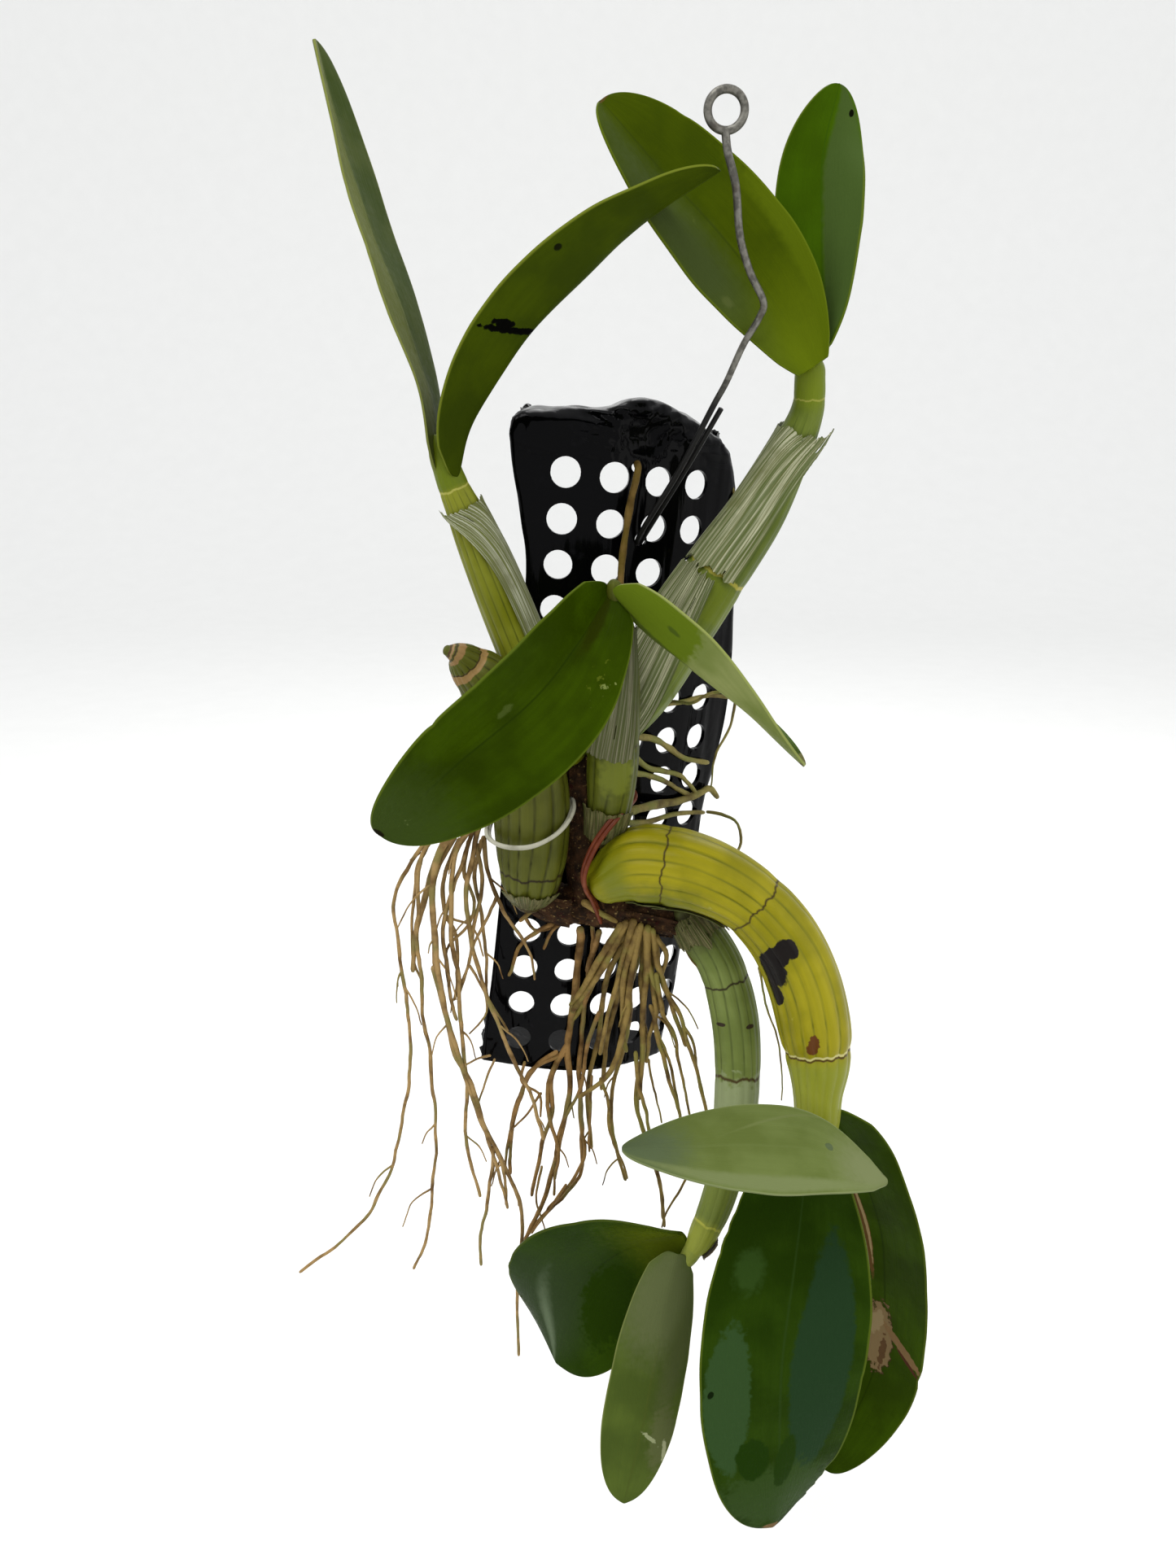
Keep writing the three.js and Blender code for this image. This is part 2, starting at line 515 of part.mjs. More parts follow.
function sheath(spec, more) {
  const line = bulbLine(spec.bulb);
  const [foot, top] = spec.rings;
  const whole = line.map((_, ring) => ring).filter((ring) => ring > foot + 0.2 && ring < top - 0.2);
  const face = (offset) => [foot, ...whole, top].map((ring) => {
    const [lower, upper] = [line[Math.floor(ring)], line[Math.ceil(ring)]];
    const share = (ring - foot) / (top - foot);
    const left = THREE.MathUtils.lerp(spec.left[0], spec.left[1], share);
    const right = THREE.MathUtils.lerp(spec.right[0], spec.right[1], share);
    return Array.from({ length: SHEATH_STRIPS + 1 }, (_, k) => {
      const turn = radians(THREE.MathUtils.lerp(left, right, k / SHEATH_STRIPS));
      const onRing = (s) => around(s, s.radius * (1 + BULB_FLUTE) + offset, turn);
      return onRing(lower).lerp(onRing(upper), ring % 1);
    });
  });
  return slab(face(SHEATH_OFF + SHEATH_THICK + more), face(SHEATH_OFF - more));
}

// Roots

// short side rootlets, drawn by a seeded rule, on the strands of a bunch
let draw = ROOT_SEED;
function chance() {
  draw = (draw * DRAW_STEP) % DRAW_SPAN;
  return draw / DRAW_SPAN;
}

function rootBunch(spec, more) {
  draw = ROOT_SEED;
  const grown = [limb(spec.crown, spec.crown.length + 2, ROOT_SIDES + 1, 0, more)];
  spec.strands.forEach(([thick, thin, ...path]) => {
    const taper = path.map((p, i) => [...p, thick + ((thin - thick) * i) / (path.length - 1)]);
    grown.push(limb(taper, path.length + 1, ROOT_SIDES, 0, more));
    if (path.length < LONG_STRAND) return;
    const at = smooth(path).getPoint(0.45 + 0.3 * chance());
    const reach = THREE.MathUtils.lerp(...ROOTLET_REACH, chance());
    const swing = chance() < 0.5 ? -1 : 1;
    const tip = at.clone().add(new THREE.Vector3(swing * 0.5 * reach, -1, -0.9 * reach));
    const half = at.clone().lerp(tip, 0.5).add(new THREE.Vector3(swing, 0, 0));
    grown.push(limb([at, half, tip].map((p, i) => [p.x, p.y, p.z, 0.8 - 0.1 * i]), 4, ROOT_SIDES, 0, more));
  });
  return Manifold.union(grown);
}

// Wire and ties

// wire of one radius along a path
function strand(points, radius, count, more) {
  return limb(points.map((p) => [...p, radius]), count, WIRE_SIDES, 0, more);
}

function wire(more) {
  const eye = fromGeometry(new THREE.TorusGeometry(EYE_RADIUS, WIRE_RADIUS + more, WIRE_SIDES, EYE_SIDES)
    .rotateX(Math.PI / 2)
    .translate(0, 0, WIRE_RADIUS - EYE_RADIUS));
  const down = strand(WIRE_DOWN, WIRE_RADIUS, 25, more);
  const back = strand(WIRE_BACK, WIRE_RADIUS - 0.2, 7, more);
  return Manifold.union([eye, down, back]);
}

const tie = (path, more) => strand(path, TIE_RADIUS, 2 * path.length - 1, more);

// Parts in order: what comes later is trimmed to stand a little off what comes before

const rhizome = (more) => limb(RHIZOME_UP, 7, 8, 0, more).add(limb(RHIZOME_ALONG, 7, 8, 0, more));
const bulb = (name) => (more) => limb(BULBS[name], BULBS[name].length + 1, BULB_SIDES, BULB_FLUTE, more);
const leafNamed = (name) => (more) => leaf(LEAVES[name], more);
const sheathNamed = (name) => (more) => sheath(SHEATHS[name], more);
const rootsNamed = (name) => (more) => rootBunch(ROOTS[name], more);

const parts = [
  { name: 'hanger_wire', look: ZINC, shape: wire },
  { name: 'tray', look: BLACK, shape: piercedTray },
  { name: 'tie_white', look: WHITE, shape: (more) => tie(WHITE_TIE, more) },
  { name: 'tie_brown', look: COPPER, shape: (more) => tie(BROWN_TIE, more) },
  { name: 'rhizome', look: BARK, shape: rhizome },
  ...Object.keys(BULBS).map((name) => ({ name, look: BULB_LOOKS[name], shape: bulb(name) })),
  ...Object.keys(LEAVES).map((name) => ({ name, look: LEAF, shape: leafNamed(name) })),
  ...Object.keys(SHEATHS).map((name) => ({ name, look: SHEATH, shape: sheathNamed(name) })),
  ...Object.keys(ROOTS).map((name) => (
    { name, look: name === 'roots_right' ? PALE_ROOT : TAN, shape: rootsNamed(name) })),
  { name: 'root_gold', look: PALE_ROOT, shape: (more) => strand(GOLD_ROOT, GOLD_ROOT_RADIUS, 13, more) },
];

const near = (a, b) => [0, 1, 2].every((k) => a.min[k] < b.max[k] + 1 && b.min[k] < a.max[k] + 1);
const largest = (solid) => solid.decompose().sort((a, b) => b.volume() - a.volume())[0];

const group = new THREE.Group();
group.name = 'cowhorn_orchid';
const placed = [];
parts.forEach(({ name, look, shape }) => {
  let body = shape(0);
  const extent = body.boundingBox();
  placed.forEach((other) => {
    if (near(extent, other.extent)) body = body.subtract(other.grown);
  });
  placed.push({ extent, grown: shape(GAP) });
  const { vertProperties, triVerts } = largest(body).getMesh();
  const geometry = new THREE.BufferGeometry();
  geometry.setAttribute('position', new THREE.BufferAttribute(new Float32Array(vertProperties), 3));
  geometry.setIndex(new THREE.BufferAttribute(new Uint32Array(triVerts), 1));
  geometry.computeVertexNormals();
  const [color, roughness, metalness] = look;
  const mesh = new THREE.Mesh(geometry, new THREE.MeshStandardMaterial({ color, roughness, metalness }));
  mesh.name = name;
  group.add(mesh);
});

export default group;
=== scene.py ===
"""Cowhorn orchid tied to a black pierced tray that hangs on a wire eye: its looks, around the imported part.

Points are in millimetres in the part's frame: +Z up, the viewer on the -Y side, and the origin where the wire
eye bears on its hook.
"""

import math
import random

import bpy
import numpy as np
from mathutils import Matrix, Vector, noise


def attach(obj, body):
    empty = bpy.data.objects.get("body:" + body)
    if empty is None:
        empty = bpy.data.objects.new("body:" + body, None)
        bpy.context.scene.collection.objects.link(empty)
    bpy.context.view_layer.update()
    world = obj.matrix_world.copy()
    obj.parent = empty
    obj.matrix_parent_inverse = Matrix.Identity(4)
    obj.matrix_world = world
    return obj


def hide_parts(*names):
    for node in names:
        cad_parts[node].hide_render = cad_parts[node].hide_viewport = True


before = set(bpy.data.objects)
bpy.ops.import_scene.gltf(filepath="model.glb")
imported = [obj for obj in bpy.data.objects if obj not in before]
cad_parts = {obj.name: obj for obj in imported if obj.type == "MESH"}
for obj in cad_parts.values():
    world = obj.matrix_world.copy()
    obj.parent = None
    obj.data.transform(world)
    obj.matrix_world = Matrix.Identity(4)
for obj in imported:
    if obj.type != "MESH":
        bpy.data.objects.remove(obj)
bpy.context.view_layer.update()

MM = 0.001

# Camera, floor and lamps, in metres. A lamp has a name, a place, what it faces, its size, watts and colour.

CAMERA_AT = (-0.04471, -0.43, -0.09075)
CAMERA_DIP = 18.5
CAMERA_LENS = 27
CAMERA_SENSOR = 36
FLOOR_LEVEL = -0.66
FLOOR_HALF = 4.0
FLOOR_BEND = 1.5
WALL_HIGH = 6.0
WORLD_LIGHT = 0.95
LAMPS = (
    ("key", (-0.5, -0.5, 1.2), (-0.02, 0, -0.28), 1.1, 16, "#ffffff"),
    ("fill", (1.2, -0.9, 0.2), (0, 0, -0.3), 1.4, 5, "#fffcf6"),
    ("back", (0.3, 1.1, 0.9), (0, 0, -0.2), 1.0, 8, "#ffffff"),
)

# Tray: pierced base to the viewer, walls running back to an open rim. Its face has distances across and up.

TRAY_FOOT = (-75.7, 31, -364.1)
TRAY_LEAN = 5.27
TRAY_WALL = 1.8
TRAY_DEEP = 42
TRAY_BOTTOM = -16
TRAY_HIGH = 256
TRAY_CORNER = 2.5
TRAY_FACE_COLUMNS = 84
TRAY_FACE_ROWS = 130
# shares of the depth at which the walls have a line of points, from the rim to the face
TRAY_WALL_STEPS = (1, 0.84, 0.68, 0.52, 0.36, 0.22, 0.12, 0.06, 0.02)
# the top wall: share of the depth that its rounded lip takes, steps round the lip and back from it, and how
# round its corners are
LIP_SHARE = 0.22
LIP_STEPS = 16
TOP_STEPS = 8
TOP_CORNER = 5
# holes in columns across and rows up, which drop a little to the right
HOLE_ACROSS = 11.4
HOLE_COLUMNS = (0, 18.8, 36, 51.5, 65)
HOLE_ROWS = 15
HOLE_STEP = 17.5
HOLE_DROP = 0.02
HOLE_SIDES = 28
LAST_COLUMN_ROWS = 12
DRILL_LONG = 16
# the wire's hole and a boss's hole: across, up and size
WIRE_HOLE = (31.3, 222, 5)
BOSS_HOLE = (26.5, 249, 3.4)
# hollow below the wire's way over the top: across, up, its half sizes and depth
HOLLOW = (30, 260, 9, 6, 5)
# how far back the face curves, for each distance across
TRAY_CURVE = ((-28, 0), (9.4, 0), (18.8, 0.6), (35, 5), (50.5, 13), (64, 24), (72, 32), (80, 41))
# left and right edge at each height, then the lower and the upper edge for each distance across
TRAY_LEFT = ((-13, -16), (20, -14), (60, -13), (210, -12), (235, -18), (256, -23), (271, -23))
TRAY_RIGHT = (
    (-18, 66), (17, 70), (52, 71), (105, 73), (150, 79), (200, 75), (240, 69), (256, 65), (271, 59),
)
TRAY_LOW = ((-20, -13), (30, -17), (70, -18))
TRAY_RIM_HIGH = (
    (-28, 265), (-20, 267.5), (-6, 268.5), (3, 269.5), (11, 269), (24, 274), (36, 272), (45, 268.5),
    (60, 262),
)

# Wire, ties and rhizome

WIRE_RADIUS = 1.4
EYE_RADIUS = 6
WIRE_DOWN = (
    (0, 0, -11), (1, 0, -17), (4, 0, -27), (6, 0, -42), (10, 1, -53), (15, 2, -62), (14, 3, -67), (9, 5, -76),
    (4, 8, -88), (0, 11, -96), (-11, 20, -119), (-23, 28, -140), (-26.5, 37, -149),
)
WIRE_BACK = ((3, 13, -97), (-8, 22, -118), (-20, 30, -139), (-25, 39, -149))
WHITE_TIE = (
    (-69.7, 38, -259.3), (-69.7, 33, -259.2), (-72.5, 29, -258.6), (-80, 27.6, -257), (-84, 19, -256),
    (-84, 4, -258), (-77, -4, -259), (-66, -6, -258), (-56, -1, -254), (-51, 9, -249), (-52.5, 20, -246),
    (-58, 28, -243), (-62, 33, -242), (-62, 38, -242),
)
BROWN_TIE = (
    (-27, 45, -246.5), (-27, 36, -247), (-26, 24, -248), (-32, 8, -249), (-41, 2, -259), (-46, 2, -271),
    (-46, 3, -279), (-43, 9, -287), (-39, 16, -300),
)
RHIZOME_UP = (
    (-47, 25.1, -223, 5.5), (-48, 23.6, -236, 7), (-48, 23.6, -255, 7), (-46, 22.6, -275, 8),
    (-44, 22.6, -294, 8),
)
RHIZOME_ALONG = (
    (-73, 25.6, -288, 5), (-59, 22.6, -294, 8), (-42, 22.6, -296, 8), (-22, 22, -299, 7.5), (-1, 21, -304, 5),
)

# Pseudobulbs: points up the axis, each with its radius, as in the part

BULBS = {
    "bulb_e": [
        (-38, 11, -280, 9.5), (-27, 9, -273, 15), (-15, 6, -271, 16), (2, 3, -274, 15),
        (19, 0, -283, 13.6), (33, -3, -298, 14), (42, -6, -316, 14.6), (47, -9, -335, 14.4),
        (49, -12, -350, 12.4), (49, -15, -363, 9.8), (49, -18, -376, 8.5), (48, -19, -381, 5),
    ],
    "bulb_d": [
        (-69, 13, -290, 6), (-68, 12, -280, 12), (-67, 12, -260, 14.6), (-68, 11, -235, 14.6),
        (-75, 8, -212, 13.4), (-83, 5, -196, 11), (-89, 3, -189, 8.4), (-93, 0, -184, 5), (-97, -1, -182, 2),
    ],
    "bulb_b": [
        (-38, 16, -262, 7), (-36, 14, -247, 9), (-35, 10, -230, 9.9), (-34, 4, -209, 9.2),
        (-33, -4, -188, 7.1), (-33, -12, -171, 4.8), (-35, -18, -159, 3.4),
    ],
    "bulb_c": [
        (-42, 20, -226, 6), (-35, 19, -219, 8.5), (-23, 19, -201, 12), (-8, 18, -175, 12.8),
        (5, 19, -155, 12), (19, 20, -134, 10.4), (29, 20, -114, 8.1), (35, 19, -98, 6), (35, 17, -85, 5.4),
    ],
    "bulb_a": [
        (-52, 19, -228, 7), (-62, 17, -206, 9.4), (-72, 16, -180, 9.6), (-81, 15, -156, 8.9),
        (-88, 13, -138, 7.5), (-93, 11, -126, 5.8), (-96, 10, -117, 5),
    ],
    "bulb_f": [
        (-4, 20, -297, 6), (1, 18, -304, 9), (11, 16, -320, 9.5), (17, 13, -340, 10), (19, 8, -360, 9.7),
        (18, 1, -384, 9), (15, -5, -404, 7.6), (10, -10, -421, 7), (4, -14, -434, 5.9), (0, -16, -440, 4),
    ],
}

# Looks of each pseudobulb: slot, how far the tip is drawn out against its radius, number of ribs and their
# depth against the radius, colours (deep, fresh, and the painted shade down in the grooves), roughness, lines
# round it (along, wide, colour) and stains (see blot)

BULB_LOOKS = {
    "bulb_e": dict(
        slot="bulb_yellow", tip=1.5, ribs=14, flute=0.065, colours=("#7d7704", "#938a11", "#575c0e"),
        roughness=0.36,
        joints=[(33, 0.6, "#362906"), (65, 0.6, "#362906"), (118.3, 1.0, "#b9b277"), (119.4, 0.9, "#453106")],
        marks=[
            ((22, 16, 30, 13, -8, 0.6, 0.5), "#626616"), ((8, 2, 9, 30, 0, 0.5, 0.9), "#6c7010"),
            ((52, 4, 11, 3, -20, 3.0, 0.15), "#979340"), ((146, 0, 26, 40, 0, 0.2, 0.2), "#7e8324"),
            ((100, 3.5, 9, 3, 8, 3.2, 0.15), "#a0993c"), ((83.5, 5.0, 7, 5, 0, 0.9, 0.06), "#0a0603"),
            ((79.5, 1.2, 4, 5, 10, 0.8, 0.06), "#0c0604"),
            ((78.5, -3.2, 3.4, 4.4, 10, 0.8, 0.06), "#0e0704"),
            ((91, 8.0, 6, 2.6, 0, 1.2, 0.06), "#120b05"), ((112, -1.3, 3.6, 2.4, 20, 1.8, 0.08), "#583109"),
        ],
    ),
    "bulb_d": dict(
        slot="bulb_olive", tip=0.7, ribs=15, flute=0.08, colours=("#43460e", "#535618", "#1b1b03"),
        roughness=0.42,
        joints=[
            (19, 0.8, "#241c08"), (91, 6, "#8a6e42"), (94.6, 1.0, "#3a2b13"), (106.5, 4.5, "#85683f"),
            (110, 1.2, "#382715"), (113, 2.4, "#8c6f4c"), (116, 2, "#4b3020"),
        ],
        marks=[((16, 18, 6, 7, 0, 1.2, 0.3), "#241c07"), ((1, 0, 6, 60, 0, 0.9, 0.8), "#352a07")],
    ),
    "bulb_b": dict(
        slot="bulb_olive", tip=2.0, ribs=12, flute=0.05, colours=("#383e05", "#515616", "#1f2203"),
        roughness=0.45,
        joints=[(47, 0.8, "#373316")],
        marks=[((4, 0, 9, 40, 0, 1.0, 0.8), "#373011"), ((38, 1, 10, 6, 0, 1.5, 0.4), "#61681c")],
    ),
    "bulb_c": dict(
        slot="bulb_green", tip=1.2, ribs=13, flute=0.02, colours=("#4d5b12", "#626f26", "#3a480e"),
        roughness=0.38,
        joints=[(80.5, 1.3, "#989134"), (150, 1.0, "#878937")],
        marks=[((72, 2, 7, 40, 0, 0.6, 0.3), "#5c690e"), ((158, 0, 12, 30, 0, 0.5, 0.5), "#62700c")],
    ),
    "bulb_a": dict(
        slot="bulb_green", tip=2.4, ribs=13, flute=0.05, colours=("#6a6e0e", "#7c8022", "#3c4408"),
        roughness=0.4,
        joints=[(103, 1.4, "#9c9a48")],
        marks=[((76, 9, 1.6, 4, 10, 1.2, 0.1), "#1c160c"), ((113, 0, 9, 30, 0, 0.3, 0.3), "#5c6a0c")],
    ),
    "bulb_f": dict(
        slot="bulb_green", tip=2.4, ribs=15, flute=0.045, colours=("#5d6a2f", "#717e40", "#3c451c"),
        roughness=0.42,
        joints=[(41, 0.8, "#2f2712"), (75, 0.9, "#403416"), (131, 1.2, "#a2a240")],
        marks=[
            ((8, 0, 13, 40, 0, 1.0, 0.6), "#3b391c"), ((84, 0, 9, 40, 0, 2.0, 0.3), "#818b62"),
            ((112, 0, 20, 40, 0, 0.6, 0.6), "#6a7630"), ((144, 0, 14, 30, 0, 0.4, 0.3), "#868d34"),
            ((55, 5.3, 0.9, 2, 0, 0.8, 0.1), "#2d2312"), ((57, -4.9, 0.9, 1.6, 0, 0.8, 0.1), "#2d2312"),
        ],
    ),
}

# Leaves: rib points from the foot to the tip, full width, width of the foot against it, where the blade is
# widest, bluntness of the tip, turn of the upper face from the viewer, and fold of each half, as in the part.
# Then nicks (side, share of the length, long, deep), colours (deep and fresh above, deep and fresh below, rib
# line, edge), roughness, stains of the face to the viewer (on some leaves also painted reflections, painted
# sheen and painted shade) and scars that go through the blade (see blot). A leaf may have a pinch, which is
# how much its very foot narrows, and a neck that joins it to its bulb.

LEAVES = {
    "leaf_a1": dict(
        rib=[
            (-99, 12, -119), (-102, 17, -91), (-114, 22, -58), (-126, 30, -26), (-136, 38, 9),
            (-140, 41, 25),
        ],
        wide=45, foot=0.52, belly=0.51, blunt=1.4, roll=(89, 84, 81), fold=(-5, 18),
        nicks=[(-1, 0.62, 3, 0.9), (-1, 0.49, 2.5, 1.1), (-1, 0.37, 2, 0.8), (-1, 0.44, 1.5, 0.5)],
        colours=("#364417", "#444f23", "#3d4e1a", "#5b642a", "#646d32", "#72773d"), roughness=0.4,
        marks=[((76, -13, 90, 13, 0, 0.4, 0.25), "#59612a")],
    ),
    "leaf_a2": dict(
        rib=[(-92, 7, -120), (-85, 8, -99), (-63, 5, -70), (-39, 1, -47), (-19, -6, -33), (-3, -13, -24)],
        wide=52, foot=0.33, belly=0.43, blunt=1.5, roll=(-97, -101, -100), fold=(33, 24),
        colours=("#293504", "#334007", "#2e3a06", "#394605", "#404e1d", "#666f22"), roughness=0.36,
        scars=[
            ((54, 9, 16, 1.3, -70, 1.7, 0.12), "#040403"), ((54, 15, 5, 1.5, -70, 1.6, 0.1), "#040403"),
            ((83, 20.5, 1.4, 1.4, 0, 0.5, 0.2), "#121505"), ((139.5, 12, 1.6, 30, 0, 0.3, 0.1), "#9d9661"),
        ],
    ),
    "leaf_b1": dict(
        rib=[(-37, -18, -157), (-49, -31, -174), (-64, -39, -191), (-92, -46, -214), (-117, -51, -236)],
        wide=55, foot=0.35, belly=0.53, blunt=2.4, roll=(-11, -23, -35), fold=(32, 18),
        nicks=[(1, 0.655, 1.6, 0.8), (1, 0.5, 2, 0.3)],
        colours=("#253401", "#314402", "#4e5b20", "#5c6722", "#1e2d01", "#4d5b17"), roughness=0.26,
        marks=[
            ((12, -4, 14, 4, 0, 0.5, 0.4), "#252d01"), ((28, -16, 16, 9, 24, 4.0, 0.12), "#495513"),
            ((32, -21, 14, 5, 30, 4.0, 0.1), "#6a753d"), ((58, 6, 3, 2, 0, 2.2, 0.3), "#404e1d"),
            ((118, 0, 22, 40, 0, 0.8, 0.7), "#334217"), ((110, -6, 8, 10, 0, 4.4, 0.15), "#4e5b30"),
        ],
        scars=[((119, 10, 1.6, 20, 0, 0.5, 0.1), "#171507")],
    ),
    "leaf_b2": dict(
        rib=[(-36, -21, -157), (-23, -27, -170), (-9, -31, -181), (11, -35, -197), (31, -38, -215)],
        wide=44, foot=0.35, belly=0.39, blunt=1.8, roll=(-123, -107, -86), fold=(21, 12),
        colours=("#2c3d02", "#394f04", "#6d793e", "#858d55", "#515d23", "#8b9353"), roughness=0.34,
        # the second of these is painted shade on the half under the keel, near the foot
        marks=[
            ((6, 8, 30, 34, 10, 0.25, 0.06), "#596b16"), ((20, -9, 34, 9, 0, 0.3, 0.15), "#455318"),
            ((26, 12, 2.4, 1.2, 0, 1.2, 0.3), "#455518"),
        ],
        scars=[((90, 0, 3, 30, 0, 0.5, 0.1), "#5b5931")],
    ),
    "leaf_c1": dict(
        rib=[(34.5, 9, -83), (20, 15, -61), (2, 19, -41), (-20, 19, -19), (-41, 16, 1)],
        pinch=0.15,
        wide=49, foot=0.29, belly=0.55, blunt=2.2, roll=(2, 29, 44), fold=(16, 14),
        nicks=[(1, 0.8, 2, 0.3)],
        colours=("#323f03", "#3c4903", "#4e5b20", "#5c6722", "#2e3a06", "#576513"), roughness=0.33,
        marks=[
            ((58, -17, 46, 11, 3, 0.7, 0.8), "#3f4b23"), ((0, 0, 26, 30, 0, 0.3, 0.9), "#52600a"),
            ((28, 22, 40, 5, 0, 0.5, 0.4), "#495707"), ((66, -5.7, 7, 4, 0, 3.0, 0.3), "#46511e"),
            ((36, -18.8, 2.6, 2, 0, 1.0, 0.5), "#4d572a"),
        ],
        scars=[((115, 10, 1.4, 30, 0, 0.5, 0.1), "#544420")],
    ),
    "leaf_c2": dict(
        rib=[(36, 19, -81), (39, 23, -61), (39, 29, -39), (38, 33, -13), (42, 33, 10)],
        wide=36, foot=0.33, belly=0.46, blunt=1.7, roll=(-32, -31, 16), fold=(34, 11),
        colours=("#324a03", "#3a5604", "#566324", "#647025", "#2f4a07", "#546319"), roughness=0.3,
        # this stain is a painted bluish sheen of sky on one half of the blade
        marks=[((46, 10, 52, 9.5, 0, 0.3, 0.12), "#3d5022")],
        scars=[((85, 13.2, 1.8, 1.1, 60, 0.8, 0.1), "#0a0c04")],
    ),
    "leaf_e3": dict(
        rib=[(70, -50, -379), (44, -49, -367), (20, -50, -363), (-6, -53, -361), (-32, -58, -359)],
        wide=38, foot=0.2, belly=0.39, blunt=2.1, roll=(-97, -114, -84), fold=(0, 8),
        neck=[(49, -19, -380, 4.5), (51, -31, -376, 4.5), (47, -46, -367.5, 2.5)],
        colours=("#233301", "#324501", "#576330", "#626e3b", "#5d6937", "#788157"), roughness=0.5,
        # the first two are the pale waxy bloom at the two ends, with a painted bluish sheen on it
        marks=[
            ((98, 0, 16, 20, 0, 0.6, 0.6), "#525e41"), ((6, 0, 15, 20, 0, 0.6, 0.6), "#6d754e"),
            ((52, 15, 48, 3, 0, 0.4, 0.4), "#6b754a"), ((43, -13, 17, 0.6, 20, 0.8, 0.8), "#656f40"),
        ],
        scars=[((1.5, -13, 1.0, 0.9, 0, 0.4, 0.2), "#1b1e0a")],
    ),
    "leaf_e2": dict(
        rib=[
            (45, -21, -374), (43, -29, -401), (39, -39, -431), (35, -46, -473), (36, -48, -523),
            (36, -44, -563),
        ],
        wide=68, foot=0.33, belly=0.47, blunt=2.7, roll=(32, 2, -23), fold=(16, -8),
        nicks=[
            (-1, 0.86, 4, 1.5), (-1, 0.9, 2, 1.6), (-1, 0.93, 2, 2.2), (-1, 0.965, 3, 3), (-1, 0.985, 2, 3),
            (1, 0.2, 1.5, 0.6), (1, 0.25, 1.2, 0.5), (-1, 0.56, 1.5, 0.6), (1, 0.3, 1.2, 0.5),
        ],
        colours=("#1c2f03", "#253a06", "#4e5b22", "#5c6724", "#263a12", "#4e5c1a"), roughness=0.2,
        # the first five of these are painted reflections of the sky on the wet upper face
        marks=[
            ((102, -16, 62, 12, 2, 0.35, 0.08), "#1f351d"), ((120, 23, 34, 10, 4, 0.5, 0.08), "#2d4422"),
            ((172, 2, 18, 34, 0, 1.2, 0.25), "#2c4018"), ((148, 13, 11, 8, 10, 0.5, 0.08), "#192f04"),
            ((152, -3, 14, 5, 10, 0.6, 0.1), "#1c3106"), ((62, 19, 9, 6, 0, 1.2, 0.4), "#2b4116"),
        ],
        scars=[
            ((114, 29.5, 1.8, 1.2, 30, 0.6, 0.1), "#0e1a06"), ((192, 6, 1.8, 18, 0, 0.6, 0.15), "#695436"),
        ],
    ),
    "leaf_e1": dict(
        rib=[(54, -16, -370), (72, 0, -405), (90, 9, -463), (92, 11, -527), (69, 0, -581)],
        wide=51, foot=0.42, belly=0.53, blunt=2.1, roll=(8, 44, 30), fold=(17, 16),
        nicks=[(-1, 0.7, 3, 1.0)],
        colours=("#263702", "#304504", "#556223", "#636f25", "#1d2c01", "#465312"), roughness=0.3,
        scars=[
            ((84, 7.4, 36, 1.8, -2, 0.6, 0.12), "#573f20"), ((80, 6.8, 30, 0.7, -2, 0.6, 0.12), "#8f7a56"),
            ((153, 1, 20, 8.5, -4, 1.0, 0.07), "#372616"), ((153, 1, 19, 7.6, -4, 1.0, 0.07), "#736042"),
            ((150, -12, 16, 2.6, -66, 0.9, 0.1), "#71593b"), ((156, -18, 9, 1.0, -66, 0.9, 0.1), "#442819"),
            ((146, 4, 7, 3.6, 20, 1.2, 0.1), "#827151"), ((160, -2, 8, 2, 0, 2.0, 0.1), "#533d27"),
        ],
    ),
    "leaf_f2": dict(
        rib=[(-7, -20, -438), (-12, -27, -457), (-20, -36, -506), (-29, -40, -554)],
        wide=36, foot=0.46, belly=0.53, blunt=2.3, roll=(181, 166, 177), fold=(18, 11),
        colours=("#253501", "#344801", "#3f4d1d", "#4c5b23", "#444f1e", "#707742"), roughness=0.42,
        marks=[
            ((20, 0, 26, 22, 0, 0.7, 0.5), "#545c38"), ((46, 12, 30, 6, -8, 0.8, 0.7), "#4d562f"),
            ((88, 12, 16, 7, 12, 1.4, 0.3), "#535a34"), ((86, 5, 7, 0.8, 50, 2.6, 0.2), "#8b916b"),
            ((94, 15.5, 6, 1.1, 20, 1.6, 0.2), "#919472"),
        ],
    ),
    "leaf_f1": dict(
        rib=[(-4, -14, -433), (-31, -6, -449), (-49, -2, -474), (-59, 2, -518)],
        wide=68, foot=0.39, belly=0.57, blunt=1.9, roll=(-13, 12, 50), fold=(24, -8),
        nicks=[(1, 0.6, 2, 0.4), (1, 0.66, 1.5, 0.4)],
        colours=("#1f3202", "#283d04", "#4d5920", "#5a6521", "#1a2b02", "#404c16"), roughness=0.24,
        # the first two are a painted bluish sheen and a painted highlight streak along the edge
        marks=[
            ((82, 14, 38, 22, 10, 0.5, 0.8), "#2b391e"), ((92, 11, 22, 3.2, -12, 0.8, 0.9), "#56634a"),
            ((60, -14, 26, 12, -10, 1.1, 0.15), "#1d3002"), ((8, 2, 18, 26, 0, 0.6, 0.7), "#4a550c"),
        ],
    ),
}
# thickness at the rib and the share of it that the edge loses
LEAF_THICK = 1.5
LEAF_THINNING = 0.55
# share of the length that a foot takes, and its usual pinch
LEAF_FOOT = 0.06
LEAF_PINCH = 0.65
# waves of the edge and ripples of the whole blade
LEAF_WAVE = 0.35
LEAF_RIPPLE = 1.1

# Papery sheaths: line they wrap, share of it at the foot and the top, turns of the left and the right edge at
# the foot and the top, how late the edges sweep from one to the other, how open the slits are, and a spike
# (share across, long, flare)

